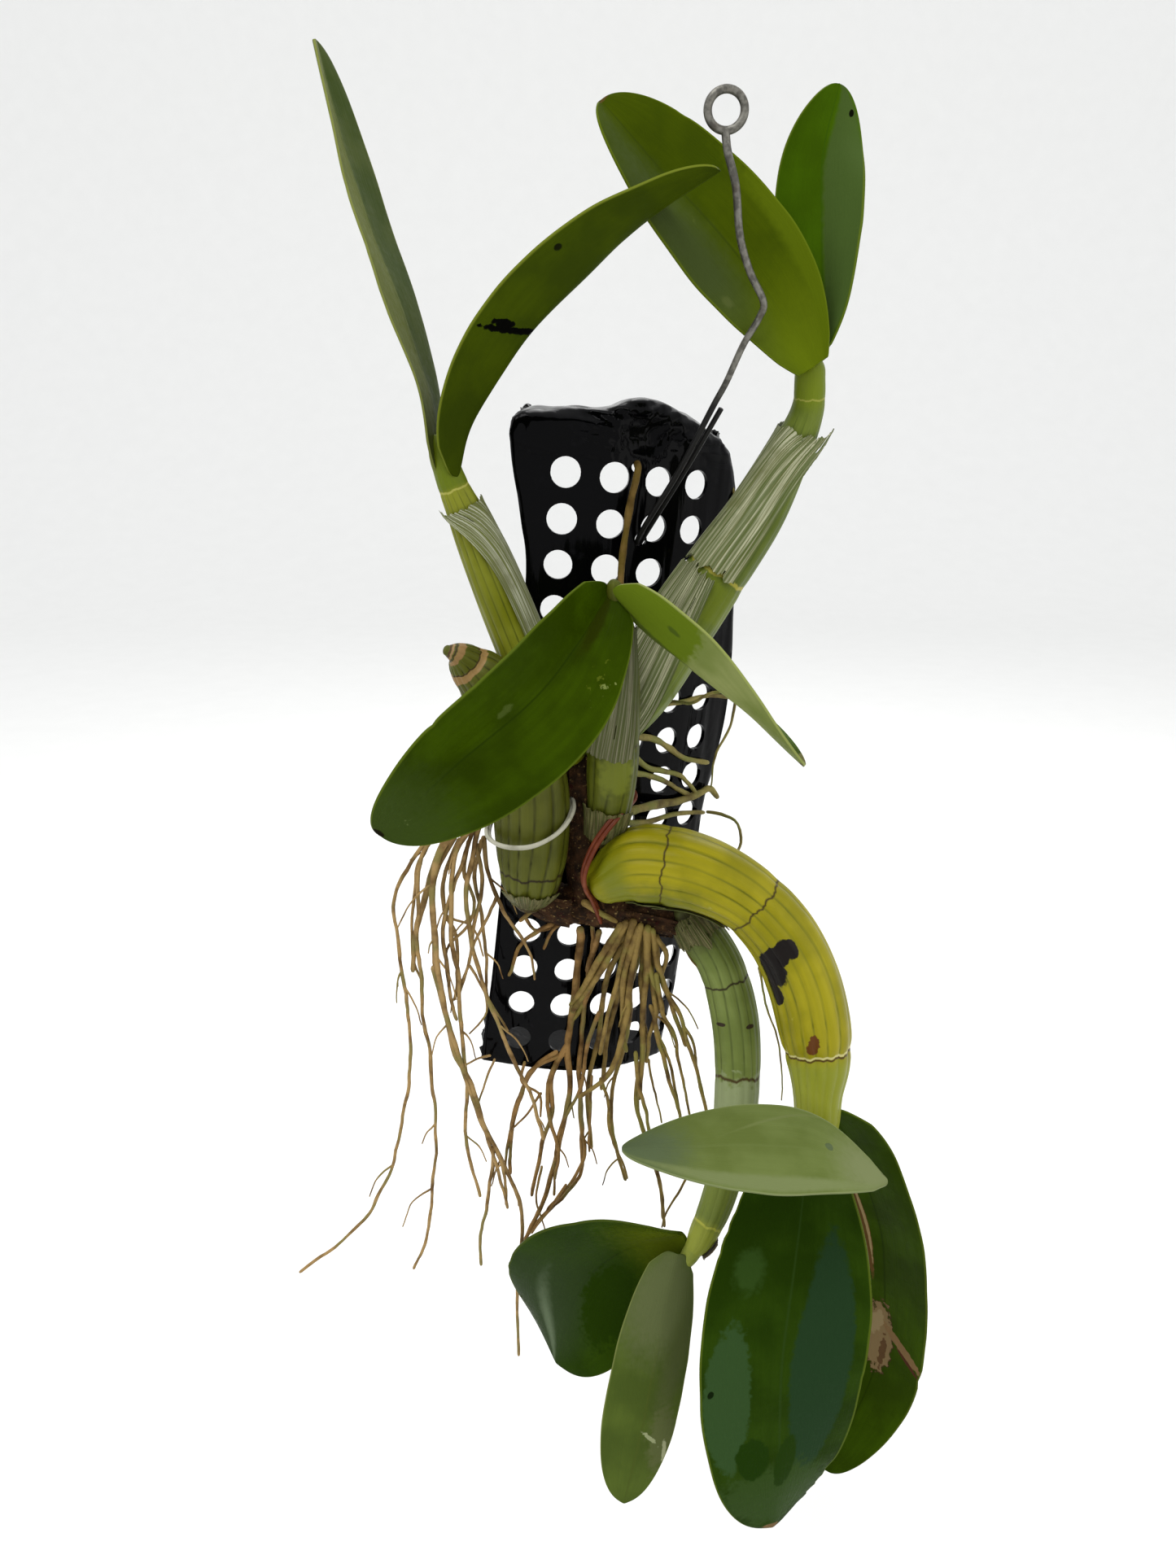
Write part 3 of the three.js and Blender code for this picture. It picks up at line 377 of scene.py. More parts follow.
SHEATHS = {
    "sheath_a": dict(
        line="bulb_a", span=(0.22, 0.76), left=(22, -78), right=(140, 120),
        sweep=4, open=0.12, spike=(0.0, 0.03, 0),
        colours=("#acae96", "#666844", "#565e12"),
    ),
    "sheath_b": dict(
        line="bulb_b", span=(0.4, 0.86), left=(-120, -70), right=(38, 60),
        sweep=1, open=0.14, spike=(0.8, 0.06, 0),
        colours=("#7c7a60", "#48482c", "#3c4612"),
    ),
    "sheath_c": dict(
        line="bulb_c", span=(0.49, 0.815), left=(-150, -140), right=(24, 86),
        sweep=4, open=0.1, spike=(0.97, 0.035, 3),
        colours=("#a8a88a", "#5e6236", "#3e4e0c"),
    ),
    "sheath_c_low": dict(
        line="bulb_c", span=(0.16, 0.475), left=(-100, -80), right=(44, -4),
        sweep=1, open=0.12, spike=(0.4, 0.02, 0),
        colours=("#a8a888", "#56583a", "#3e4e0c"),
    ),
}
HUSK_THICK = 0.4
SHEATH_GIRTH = 34
# torn scales: line, share of it, turn of the left edge and degrees round it
FOOT_SCALES = (
    (BULBS["bulb_e"], (0.04, 0.2), 40, 90), (BULBS["bulb_e"], (0.16, 0.36), 62, 60),
    (BULBS["bulb_f"], (0.03, 0.135), -80, 170), (BULBS["bulb_d"], (0.0, 0.1), -60, 130),
    (BULBS["bulb_b"], (0.0, 0.16), -80, 140),
)
RHIZOME_SCALES = (
    (RHIZOME_UP, (0.12, 0.38), -60, 90), (RHIZOME_UP, (0.45, 0.74), -20, 80),
    (RHIZOME_UP, (0.7, 0.95), -80, 90), (RHIZOME_ALONG, (0.12, 0.36), -30, 100),
    (RHIZOME_ALONG, (0.45, 0.66), -70, 110), (RHIZOME_ALONG, (0.7, 0.92), -20, 90),
)

# Roots: bunches of strands, each with its radius at the start and at the tip. The first of each bunch are the
# part's own, the thinner ones after them are only dressing.

ROOTS = {
    "roots_left": [
        (0.9, 0.7, [(-83, 23, -236), (-100, 18, -253), (-115, 16, -271), (-125, 17, -292),
            (-123, 19, -331), (-122, 20, -356), (-125, 20, -386), (-134, 20, -425), (-151, 20, -457),
            (-179, 20, -482)]),
        (1, 0.7, [(-83, 23, -238), (-97, 17, -253), (-112, 16, -270), (-116, 17, -300), (-116, 19, -343),
            (-113, 20, -384), (-114, 20, -422), (-119, 20, -458), (-126, 20, -480)]),
        (1.7, 0.7, [(-82, 23, -238), (-93, 15, -252), (-105, 14, -269), (-109, 15, -295), (-106, 17, -342),
            (-93, 19, -396), (-80, 20, -431), (-75, 20, -453), (-78, 19, -494), (-78, 19, -530)]),
        (1.3, 0.7, [(-83, 24, -240), (-90, 17, -253), (-99, 15, -270), (-102, 16, -299), (-100, 18, -335),
            (-99, 19, -379), (-99, 20, -414), (-94, 20, -439)]),
        (1.2, 0.8, [(-84, 24, -240), (-88, 20, -256), (-92, 18, -271), (-95, 17, -292), (-90, 17, -326),
            (-80, 18, -360), (-69, 19, -388), (-65, 20, -409)]),
        (1, 0.8, [(-86, 22, -246), (-96, 17, -274), (-105, 18, -300), (-104, 19, -324), (-102, 19, -347)]),
        (0.9, 0.7, [(-87, 19.5, -412), (-90, 20, -440), (-95, 21, -463), (-95, 21, -479)]),
        (0.9, 0.7, [(-93, 19, -396), (-85, 18, -425), (-82, 18, -444)]),
        (1.5, 1.1, [(-104, 22, -267), (-109, 21, -280), (-113, 20, -293), (-117, 20, -307),
            (-119, 19, -324)]),
        (1.1, 0.6, [(-98, 24, -267), (-104, 23, -282), (-105, 22, -298), (-101, 22, -308),
            (-100, 21, -328), (-101, 20, -338)]),
        (1.1, 0.5, [(-88, 26, -267), (-87, 26, -281), (-82, 26, -295), (-75, 26, -310), (-70, 26, -321),
            (-68, 26, -332)]),
        (0.8, 0.5, [(-83, 22, -292), (-87, 21, -302), (-95, 21, -319), (-100, 20, -338)]),
        (0.7, 0.4, [(-95, 20, -323), (-92, 20, -330), (-88, 20, -339), (-89, 20, -347), (-96, 20, -355)]),
        (0.6, 0.4, [(-88, 24, -369), (-93, 22, -370), (-99, 20, -372)]),
        (0.6, 0.4, [(-86, 24, -371), (-90, 22, -381), (-93, 20, -390)]),
        (1.4, 0.7, [(-110, 18, -323), (-106, 18, -344), (-103, 18, -364), (-96, 18, -380), (-91, 19, -400),
            (-84, 19, -421), (-82, 19, -443)]),
        (1.0, 0.6, [(-91, 24, -269), (-89, 23, -287), (-92, 22, -302), (-95, 21, -319), (-101, 20, -338)]),
        (1.2, 0.8, [(-100, 24, -266), (-107, 23, -277), (-110, 22, -293), (-110, 20, -313),
            (-109, 19, -327)]),
        (0.9, 0.5, [(-111, 22, -269), (-116, 22, -280), (-118, 21, -296), (-119, 20, -319),
            (-116, 20, -332)]),
        (0.9, 0.5, [(-94, 22, -267), (-96, 22, -279), (-93, 21, -292), (-95, 21, -303), (-103, 21, -313),
            (-105, 20, -325), (-103, 20, -338)]),
        (0.6, 0.4, [(-105, 22, -300), (-100, 21, -302), (-92, 21, -307), (-89, 20, -318)]),
        (1.0, 0.5, [(-89, 25, -268), (-92, 25, -283), (-90, 24, -300), (-88, 24, -320), (-87, 23, -341),
            (-80, 23, -356)]),
        (0.5, 0.3, [(-114, 20, -271), (-118, 19, -274)]),
    ],
    "roots_middle": [
        (1.8, 1, [(-48, 18, -305), (-48, 23, -314), (-51, 30.9, -346), (-54, 30.8, -370),
            (-53, 30.8, -393), (-58, 30.8, -419), (-65, 30.8, -448), (-75, 30.8, -474)]),
        (1.3, 0.8, [(-54, 30.5, -367), (-61, 30, -382), (-61, 30, -403), (-66, 30, -420),
            (-71, 30, -446)]),
        (1.1, 0.8, [(-55, 30.6, -372), (-69, 29.7, -379), (-76, 29.7, -395), (-80, 29.7, -416),
            (-81, 29.7, -434)]),
        (1.4, 0.8, [(-40, 18, -306), (-43, 23.4, -322), (-47, 32.3, -355), (-49, 32.3, -384),
            (-47, 32.3, -414), (-49, 32.3, -438), (-67, 32.3, -463)]),
        (1.1, 0.8, [(-60, 19, -303), (-67, 23, -308), (-74, 29, -317), (-79, 29.5, -332)]),
        (1.1, 0.6, [(-59, 30, -371), (-67, 30, -377), (-74, 30, -391), (-79, 30, -406), (-82, 30, -424),
            (-83, 30, -435)]),
        (1.1, 0.7, [(-55, 30, -370), (-62, 30, -383), (-62, 29, -405), (-58, 28, -422), (-60, 28, -436)]),
        (1.0, 0.6, [(-40, 28, -350), (-46, 28, -369), (-48, 29, -389), (-55, 29, -405), (-59, 30, -419),
            (-61, 30, -447)]),
        (1.0, 0.6, [(-48, 30, -386), (-48, 30, -409), (-47, 30, -428), (-55, 30, -443), (-67, 30, -461),
            (-72, 30, -469)]),
        (0.9, 0.6, [(-53, 20, -301), (-59, 23, -307), (-63, 26, -317)]),
        (1.5, 0.9, [(-54, 14, -265), (-55, 14, -273), (-60, 13, -284), (-67, 12, -292), (-72, 12, -297)]),
        (0.8, 0.5, [(-73, 28, -375), (-74, 28, -385), (-67, 28, -391), (-66, 28, -403)]),
        (0.7, 0.4, [(-55, 28, -440), (-65, 28, -457), (-71, 28, -467)]),
        (0.7, 0.4, [(-66, 28, -391), (-72, 28, -401), (-79, 28, -409)]),
        (0.8, 0.5, [(-71, 18, -299), (-67, 21, -306), (-61, 23, -307), (-57, 26, -306)]),
        (0.6, 0.4, [(-66, 28, -430), (-69, 28, -447), (-65, 28, -466)]),
        (1.0, 0.7, [(-43, 20, -302), (-43, 24, -315), (-45, 28, -329)]),
        (0.7, 0.5, [(-43, 28, -382), (-43, 28, -401), (-44, 28, -421)]),
    ],
    "roots_front": [
        (1.6, 0.9, [(-29, 18, -307), (-38, 25.1, -323), (-46, 31.5, -346), (-51, 31, -355)]),
        (1.5, 0.8, [(-27, 18, -307), (-36, 24.2, -330), (-40, 34.6, -364), (-45, 34.6, -394),
            (-43, 34.6, -424)]),
        (1.4, 0.9, [(-24, 18, -307), (-29, 25.6, -327), (-34, 36, -356), (-38, 36.5, -378),
            (-39, 36.5, -393)]),
        (1.4, 0.8, [(-21, 18, -307), (-25, 26.2, -331), (-27, 40, -366), (-34, 39, -400), (-33, 38, -422),
            (-27, 38, -443)]),
        (1.5, 0.8, [(-20, 18, -307), (-22, 20, -330), (-20, 24, -359), (-23, 25, -392), (-18, 25, -414),
            (-12, 25, -436), (-10, 25, -456)]),
        (1.3, 0.8, [(-18, 18, -308), (-17, 17, -330), (-15, 17, -353), (-9, 18, -378), (-4, 19, -398)]),
        (1.2, 0.8, [(-16, 18, -308), (-14, 17, -327), (-6, 16, -343), (0, 17, -362), (8, 18, -395)]),
        (1.9, 1.2, [(-29, 14, -300), (-36, 17, -317), (-43, 21, -332), (-51, 24, -346)]),
        (1.8, 1.1, [(-31, 14, -301), (-39, 17, -317), (-47, 21, -334), (-52, 24, -343)]),
        (1.5, 0.9, [(-26, 13, -299), (-31, 16, -321), (-35, 19, -342), (-39, 22, -366)]),
        (1.6, 1.0, [(-23, 13, -301), (-26, 15, -322), (-28, 17, -343), (-32, 18, -366), (-38, 20, -379),
            (-48, 22, -389)]),
        (1.6, 1.0, [(-20, 13, -302), (-20, 15, -322), (-21, 18, -347), (-21, 20, -370), (-22, 22, -389)]),
        (1.4, 0.9, [(-18, 13, -303), (-14, 15, -322), (-9, 18, -341), (-2, 20, -361)]),
        (1.1, 0.6, [(-16, 14, -324), (-13, 16, -343), (-8, 17, -354), (-5, 18, -369), (0, 20, -396)]),
        (0.8, 0.5, [(-4, 16, -349), (1, 17, -359), (3, 19, -374), (8, 20, -394)]),
        (0.9, 0.5, [(-18, 16, -340), (-12, 18, -361), (-7, 20, -380), (-3, 22, -399)]),
        (1.0, 0.7, [(-24, 18, -364), (-21, 20, -386), (-17, 21, -406), (-11, 22, -437), (-9, 24, -459)]),
        (0.6, 0.4, [(-18, 22, -370), (-16, 23, -385), (-12, 24, -403)]),
        (0.9, 0.5, [(-39, 24, -381), (-35, 24, -392), (-35, 24, -405), (-32, 24, -417), (-27, 24, -433)]),
        (0.6, 0.4, [(0, 24, -434), (-8, 24, -451), (-10, 24, -461)]),
        (1.6, 1.2, [(-46, 12, -290), (-40, 13, -295), (-34, 14, -299)]),
        (0.5, 0.3, [(-5, 16, -311), (0, 13, -319), (9, 10, -319)]),
        (1.5, 1.0, [(-24, 13, -302), (-29, 16, -325), (-30, 19, -348), (-28, 22, -365)]),
        (1.2, 0.7, [(-16, 14, -307), (-12, 17, -317), (-13, 19, -327), (-11, 22, -334)]),
        (1.4, 0.8, [(-21, 13, -303), (-18, 15, -322), (-15, 18, -338), (-18, 20, -358), (-19, 22, -371)]),
    ],
    "roots_right": [
        (1.2, 0.8, [(-28, 24, -218), (-19, 33, -215), (-11, 42.4, -214), (-1, 50.6, -214), (8, 58.3, -214),
            (19, 64, -216)]),
        (1.5, 1.1, [(-28, 24, -223), (-19, 34, -226), (-11, 43.7, -233), (-3, 50.8, -240),
            (7, 60.4, -245)]),
        (1.4, 1, [(-28, 24, -229), (-20, 34, -238), (-13, 42.8, -243), (-5, 49.4, -248), (2, 56.5, -258)]),
        (1.4, 1, [(-28, 24, -237), (-19, 35, -243), (-9, 46.6, -251), (-1, 54.1, -257)]),
        (2, 1.3, [(-29, 24, -255), (-19, 35, -256), (-7, 48.1, -259), (4, 57.5, -258), (9, 61.5, -257),
            (12, 63, -261)]),
        (1.5, 1, [(-30, 23, -259), (-21, 34, -263), (-8, 48.8, -265), (6, 60.4, -268)]),
        (0.8, 0.6, [(8, 58, -267), (14, 54, -267), (20, 49, -268), (21, 44, -275), (18, 40, -279)]),
        (0.5, 0.3, [(24, -5, -311), (27, -6, -324), (31, -6, -336), (35, -7, -353), (35, -8, -369)]),
        (0.7, 0.4, [(11, 62, -120), (14, 60, -127), (16, 58, -136)]),
        (0.7, 0.4, [(18, 55, -215), (15, 54, -229), (10, 53, -240), (8, 52, -253)]),
        (0.8, 0.5, [(-22, 40, -220), (-13, 25, -209), (-5, 10, -204), (3, -5, -197), (11, -20, -195)]),
    ],
}
GOLD_ROOT = [
    (-26, 36, -117), (-26, 29, -120), (-29, 27.5, -133), (-31, 27.5, -147), (-32, 24, -160), (-33, 4, -176),
]
# Colours of each bunch (pale, dark, green), its slot, and rootlets to every 100 mm of strand
ROOT_LOOKS = {
    "roots_left": ("#9c8052", "#5e4626", "#7c7040", "root_tan", 1.6),
    "roots_middle": ("#8c6c3e", "#503818", "#74683a", "root_tan", 1.4),
    "roots_front": ("#86703c", "#4e3a1c", "#787036", "root_tan", 1.2),
    "roots_right": ("#847a44", "#544828", "#72723a", "root_pale", 0.4),
}

# Fineness of the meshes: rings along a limb and points round it, rows and columns of a sheet, and the mm
# between the rings of a root

LEAF_ROWS, LEAF_COLUMNS = 90, 28
BULB_RINGS, BULB_AROUND, BULB_CAPS = 130, 120, 7
HUSK_ROWS, HUSK_COLUMNS, HUSK_STEPS = 90, 64, 400
WIRE_RINGS, WIRE_AROUND, TIE_AROUND = 90, 14, 12
RHIZOME_RINGS, RHIZOME_AROUND = 70, 40
NECK_RINGS, NECK_AROUND = 24, 20
ROOT_STEP = 2.2


# Helpers


def deselect():
    for thing in bpy.context.selected_objects:
        thing.select_set(False)


def linear(code):
    """sRGB hex to the renderer's linear colour."""
    parts = [int(code[i:i + 2], 16) / 255 for i in (1, 3, 5)]
    return [p / 12.92 if p <= 0.04045 else ((p + 0.055) / 1.055) ** 2.4 for p in parts] + [1.0]


def on_line(points, share):
    """Value at a share of the way through listed points, on a smooth line through them."""
    p = np.asarray(points, float)
    last = len(p) - 1
    i = min(int(share * last), last - 1)
    f = share * last - i
    a = p[i - 1] if i else 2 * p[0] - p[1]
    b, c = p[i], p[i + 1]
    d = p[i + 2] if i < last - 1 else 2 * p[last] - p[last - 1]
    square, cube = 2 * a - 5 * b + 4 * c - d, 3 * b - a - 3 * c + d
    return 0.5 * (2 * b + (c - a) * f + square * f ** 2 + cube * f ** 3)


def between(pairs, at, blur=0.0):
    """Value between listed pairs, with its corners rounded over a distance."""
    known, values = zip(*pairs)
    return float(np.mean([np.interp(at + blur * k, known, values) for k in (-1, -0.5, 0, 0.5, 1)]))


def unit(v):
    return v / max(np.linalg.norm(v), 1e-9)


def turned(degrees):
    return math.cos(math.radians(degrees)), math.sin(math.radians(degrees))


def swell(at, seed=0.0):
    """Smooth noise from -1 to 1."""
    return noise.noise(Vector(at) + Vector((seed, -seed, 2.3 * seed)))


def sheet(name, rows, columns, place):
    """A grid whose corners are moved to place(x, y) in mm, x and y from 0 to 1; place also gives the map."""
    deselect()
    bpy.ops.mesh.primitive_grid_add(x_subdivisions=rows, y_subdivisions=columns, size=2)
    made = bpy.context.object
    made.name = name
    spots = [place((v.co.x + 1) / 2, (v.co.y + 1) / 2) for v in made.data.vertices]
    for v, (at, _) in zip(made.data.vertices, spots):
        v.co = Vector(at) * MM
    layer = made.data.uv_layers[0].data
    for loop in made.data.loops:
        layer[loop.index].uv = spots[loop.vertex_index][1]
    made.data.update()
    return made


def pick(made):
    deselect()
    made.select_set(True)
    bpy.context.view_layer.objects.active = made


def edit(made, *steps):
    """Mesh operators, each with its settings, on the whole of one piece."""
    pick(made)
    bpy.ops.object.mode_set(mode="EDIT")
    bpy.ops.mesh.select_all(action="SELECT")
    for step, settings in steps:
        step(**settings)
    bpy.ops.object.mode_set(mode="OBJECT")


def modify(made, kind, **settings):
    pick(made)
    modifier = made.modifiers.new(kind.title(), kind)
    for key, value in settings.items():
        setattr(modifier, key, value)
    bpy.ops.object.modifier_apply(modifier=modifier.name)


def smooth_faces(made, degrees):
    pick(made)
    bpy.ops.object.shade_smooth_by_angle(angle=math.radians(degrees))


def joined(name, pieces):
    deselect()
    for piece in pieces:
        piece.select_set(True)
    bpy.context.view_layer.objects.active = pieces[0]
    bpy.ops.object.join()
    pieces[0].name = name
    return pieces[0]


def dress(made, slot, skins, *nodes):
    """Gives a finished piece its materials, unless it has them, and its place on the part."""
    if skins:
        made.data.materials.clear()
        for skin in skins:
            made.data.materials.append(skin)
    if nodes:
        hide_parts(*nodes)
    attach(made, "root")


# Material helpers


def material(name):
    made = bpy.data.materials.new(name)
    made.use_nodes = True
    return made, made.node_tree, made.node_tree.nodes["Principled BSDF"]


def feed(tree, socket, value):
    """Links a socket to another one, or sets its value."""
    if isinstance(value, bpy.types.NodeSocket):
        tree.links.new(value, socket)
    else:
        socket.default_value = value


def node(tree, kind, inputs, **settings):
    made = tree.nodes.new("ShaderNode" + kind)
    for key, value in settings.items():
        setattr(made, key, value)
    for key, value in inputs.items():
        feed(tree, made.inputs[key], value)
    return made


def surface(tree, shader, ground, coats, levels, height=None, deep=0.0):
    """Coats of (mask, colour, strength) over a ground colour, other levels, and fine relief of deep mm."""
    colour = linear(ground)
    for mask, tint, strength in coats:
        if strength < 1:
            mask = node(tree, "Math", {0: mask, 1: strength}, operation="MULTIPLY").outputs[0]
        colour = node(tree, "Mix", {0: mask, 6: colour, 7: linear(tint)}, data_type="RGBA").outputs[2]
    feed(tree, shader.inputs["Base Color"], colour)
    for key, value in levels.items():
        feed(tree, shader.inputs[key], value)
    if height is not None:
        bump = node(tree, "Bump", {"Height": height, "Distance": deep * MM, "Strength": 1.0})
        feed(tree, shader.inputs["Normal"], bump.outputs[0])


def millimetres(tree):
    """The piece's own coordinates in mm."""
    place = node(tree, "TexCoord", {}).outputs["Object"]
    return node(tree, "VectorMath", {0: place, "Scale": 1000}, operation="SCALE").outputs[0]


def unrolled(tree, length, girth):
    """The piece's map in mm: along it, and across or round it from its middle."""
    flat = node(tree, "UVMap", {}).outputs[0]
    return node(
        tree, "Mapping", {"Vector": flat, "Location": (0, -girth / 2, 0), "Scale": (length, girth, 1)},
    ).outputs[0]


def cloud(tree, place, grain, detail, rough=0.5):
    """Noise in patches of grain mm, or in streaks where grain has a size for each way."""
    if isinstance(grain, tuple):
        place = node(tree, "Mapping", {"Vector": place, "Scale": [1 / size for size in grain]}).outputs[0]
        grain = 1
    settings = {"Vector": place, "Scale": 1 / grain, "Detail": detail, "Roughness": rough}
    return node(tree, "TexNoise", settings).outputs["Fac"]


def mottle(tree, place, grain, low=0.35, high=0.65, detail=3):
    """Mask of soft patches or streaks of that grain, from 0 to 1."""
    return node(
        tree, "MapRange", {"Value": cloud(tree, place, grain, detail), "From Min": low, "From Max": high},
        interpolation_type="SMOOTHSTEP",
    ).outputs[0]


def blot(tree, flat, grit, spot):
    """Mask of one stain on a map in mm: centre, half sizes, turn, and how ragged and how soft its rim is."""
    along, across, long, wide, turn, ragged, soft = spot
    inside = node(
        tree, "Mapping",
        {"Vector": flat, "Location": (along, across, 0), "Rotation": (0, 0, math.radians(turn)),
         "Scale": (long, wide, 1)},
        vector_type="TEXTURE",
    )
    reach = node(tree, "VectorMath", {0: inside.outputs[0]}, operation="LENGTH").outputs["Value"]
    torn = node(tree, "Math", {0: grit, 1: ragged, 2: reach}, operation="MULTIPLY_ADD").outputs[0]
    # past 3 only speckles are left of it
    rim = 1 + ragged / 2 if ragged < 3 else 0.44 * ragged
    return node(
        tree, "MapRange",
        {"Value": torn, "From Min": rim - soft, "From Max": rim + soft, "To Min": 1, "To Max": 0},
        interpolation_type="SMOOTHSTEP",
    ).outputs[0]


def band(tree, value, low, high, soft):
    """Mask that is 1 where a value lies between low and high."""
    enter = node(tree, "MapRange", {"Value": value, "From Min": low - soft, "From Max": low + soft})
    leave = node(
        tree, "MapRange",
        {"Value": value, "From Min": high - soft, "From Max": high + soft, "To Min": 1, "To Max": 0},
    )
    return node(tree, "Math", {0: enter.outputs[0], 1: leave.outputs[0]}, operation="MULTIPLY").outputs[0]


# Materials. Specular levels are low, because the pale studio greys a glossy skin that is seen along its face.


def leaf_skin(name, length, wide, colours, roughness, marks):
    """Living leaf: waxy cuticle over green flesh, with fine veins along it, a rib line and a thin edge."""
    made, tree, shader = material(name)
    deep, fresh, rib, edge = colours
    flat = unrolled(tree, length, wide)
    body = millimetres(tree)
    across = node(tree, "SeparateXYZ", {0: flat}).outputs["Y"]
    aside = node(tree, "Math", {0: across}, operation="ABSOLUTE").outputs[0]
    grit = cloud(tree, body, 2.5, 7)
    coats = [
        (mottle(tree, body, 22), fresh, 1),
        (mottle(tree, flat, (60, 3, 1)), deep, 0.3),
        (band(tree, across, -0.5, 0.4, 0.4), rib, 0.8),
    ]
    # stains, and on some leaves painted reflections, painted sheen and painted shade
    coats += [(blot(tree, flat, grit, spot), tint, 1) for spot, tint in marks]
    coats.append((band(tree, aside, wide * 0.488, wide, 0.25), edge, 0.8))
    worn = node(
        tree, "MapRange",
        {"Value": grit, "From Min": 0.3, "From Max": 0.7, "To Min": roughness - 0.05,
         "To Max": roughness + 0.12},
    ).outputs[0]
    # veins stand about 1 mm apart, on wider ripples
    veins = cloud(tree, flat, (40, 0.9, 1), 2)
    ripples = cloud(tree, flat, (3, 14, 1), 2)
    both = node(tree, "Math", {0: ripples, 1: 0.8, 2: veins}, operation="MULTIPLY_ADD").outputs[0]
    surface(tree, shader, deep, coats, {"Roughness": worn, "Specular IOR Level": 0.01}, both, 0.14)
    return made


def bulb_skin(name, length, girth, look):
    """Living stem: smooth ribbed rind with painted shade down in its grooves, and thin dark joint lines round
    it.
    """
    made, tree, shader = material(name)
    deep, fresh, groove = look["colours"]
    flat = unrolled(tree, length, girth)
    body = millimetres(tree)
    grit = cloud(tree, body, 1 / 0.3, 6)
    # painted shade: the colour goes darker down in the grooves, by the groove attribute
    hollow = node(tree, "Attribute", {}, attribute_name="groove").outputs["Fac"]
    dark = node(tree, "MapRange", {"Value": hollow, "From Min": 0.5, "To Max": 0.85}).outputs[0]
    # joint lines stray by up to 2 mm
    wander = cloud(tree, flat, (400, 5, 1), 3)
    away = node(tree, "Math", {0: wander, 1: 4.0, 2: -2.0}, operation="MULTIPLY_ADD").outputs[0]
    along = node(tree, "SeparateXYZ", {0: flat}).outputs["X"]
    level = node(tree, "Math", {0: along, 1: away}, operation="ADD").outputs[0]
    coats = [
        (mottle(tree, body, 18), fresh, 1),
        (mottle(tree, flat, (45, 2.2, 1)), deep, 0.4),
        (dark, groove, 1),
    ]
    coats += [(blot(tree, flat, grit, spot), tint, 1) for spot, tint in look["marks"]]
    coats += [
        (band(tree, level, at - wide / 2, at + wide / 2, 0.25), tint, 1) for at, wide, tint in look["joints"]
    ]
    fine = cloud(tree, flat, (12, 0.6, 1), 3)
    surface(
        tree, shader, deep, coats, {"Roughness": look["roughness"], "Specular IOR Level": 0.14}, fine, 0.15,
    )
    return made


def husk_skin(name, length, girth, pale, dull, green):
    """Dead sheath: papery fibres that have bleached to silver, with green rind showing between them."""
    made, tree, shader = material(name)
    flat = unrolled(tree, length, girth)
    body = millimetres(tree)
    # one fibre is about 0.6 mm wide
    fibres = cloud(tree, flat, (40, 0.55, 1), 3)
    lines = node(tree, "MapRange", {"Value": fibres, "From Min": 0.4, "From Max": 0.58}).outputs[0]
    coats = [
        (lines, pale, 1),
        (mottle(tree, flat, (55, 1.1, 1), 0.45, 0.57), green, 0.8),
        (mottle(tree, body, 9, 0.5, 0.8), dull, 0.7),
    ]
    surface(tree, shader, dull, coats, {"Roughness": 0.5, "Specular IOR Level": 0.15}, fibres, 0.45)
    return made


def root_skin(name, pale, dark, green):
    """Aerial root: corky skin in tan and brown, greener where it is young."""
    made, tree, shader = material(name)
    body = millimetres(tree)
    coats = [
        (mottle(tree, body, 9, 0.3, 0.6), pale, 1),
        (mottle(tree, body, 14, 0.5, 0.65), green, 1),
        (mottle(tree, body, 2.5, 0.55, 0.75), dark, 0.35),
    ]
    rings = cloud(tree, body, 1 / 0.9, 5)
    surface(tree, shader, dark, coats, {"Roughness": 0.6, "Specular IOR Level": 0.12}, rings, 0.4)
    return made


def bark_skin():
    """Rhizome: dark red-brown woody stem under torn scales."""
    made, tree, shader = material("rhizome_bark")
    body = millimetres(tree)
    coats = [
        (mottle(tree, body, 5), "#3c2614", 1),
        (mottle(tree, body, 2.2, 0.55, 0.75, 5), "#5c4224", 1),
        (mottle(tree, body, 3.5, 0.6, 0.7), "#2c0e06", 1),
        (mottle(tree, body, 1.2, 0.62, 0.72), "#7c6840", 1),
    ]
    coarse = cloud(tree, body, 1 / 0.3, 8, 0.7)
    surface(tree, shader, "#1e1208", coats, {"Roughness": 0.7, "Specular IOR Level": 0.1}, coarse, 1.2)
    return made


def black_plastic():
    """Moulded polypropylene: black, glossy, with draw lines up it and a little dust and scuffing."""
    made, tree, shader = material("moulded_black_polypropylene")
    body = millimetres(tree)
    dust = mottle(tree, body, 7, 0.58, 0.8, 6)
    worn = node(tree, "MapRange", {"Value": dust, "To Min": 0.1, "To Max": 0.35}).outputs[0]
    lines = cloud(tree, body, (2.5, 2.5, 60), 3)
    levels = {"Roughness": worn, "Specular IOR Level": 0.07}
    surface(tree, shader, "#030304", [(dust, "#1c1c20", 0.2)], levels, lines, 0.1)
    return made


def zinc_wire():
    """Galvanised wire: dull grey zinc above, black with grime below the bend."""
    made, tree, shader = material("weathered_galvanised_wire")
    body = millimetres(tree)
    height = node(tree, "SeparateXYZ", {0: body}).outputs["Z"]
    low = node(tree, "MapRange", {"Value": height, "From Min": -84, "From Max": -96}).outputs[0]
    coats = [
        (mottle(tree, body, 2), "#74726a", 1),
        (mottle(tree, body, 6, 0.5, 0.7, 5), "#4c4238", 0.5),
        (low, "#121110", 1),
    ]
    grit = cloud(tree, body, 1 / 1.5, 4)
    surface(tree, shader, "#4c4a44", coats, {"Metallic": 0.6, "Roughness": 0.45}, grit, 0.07)
    return made


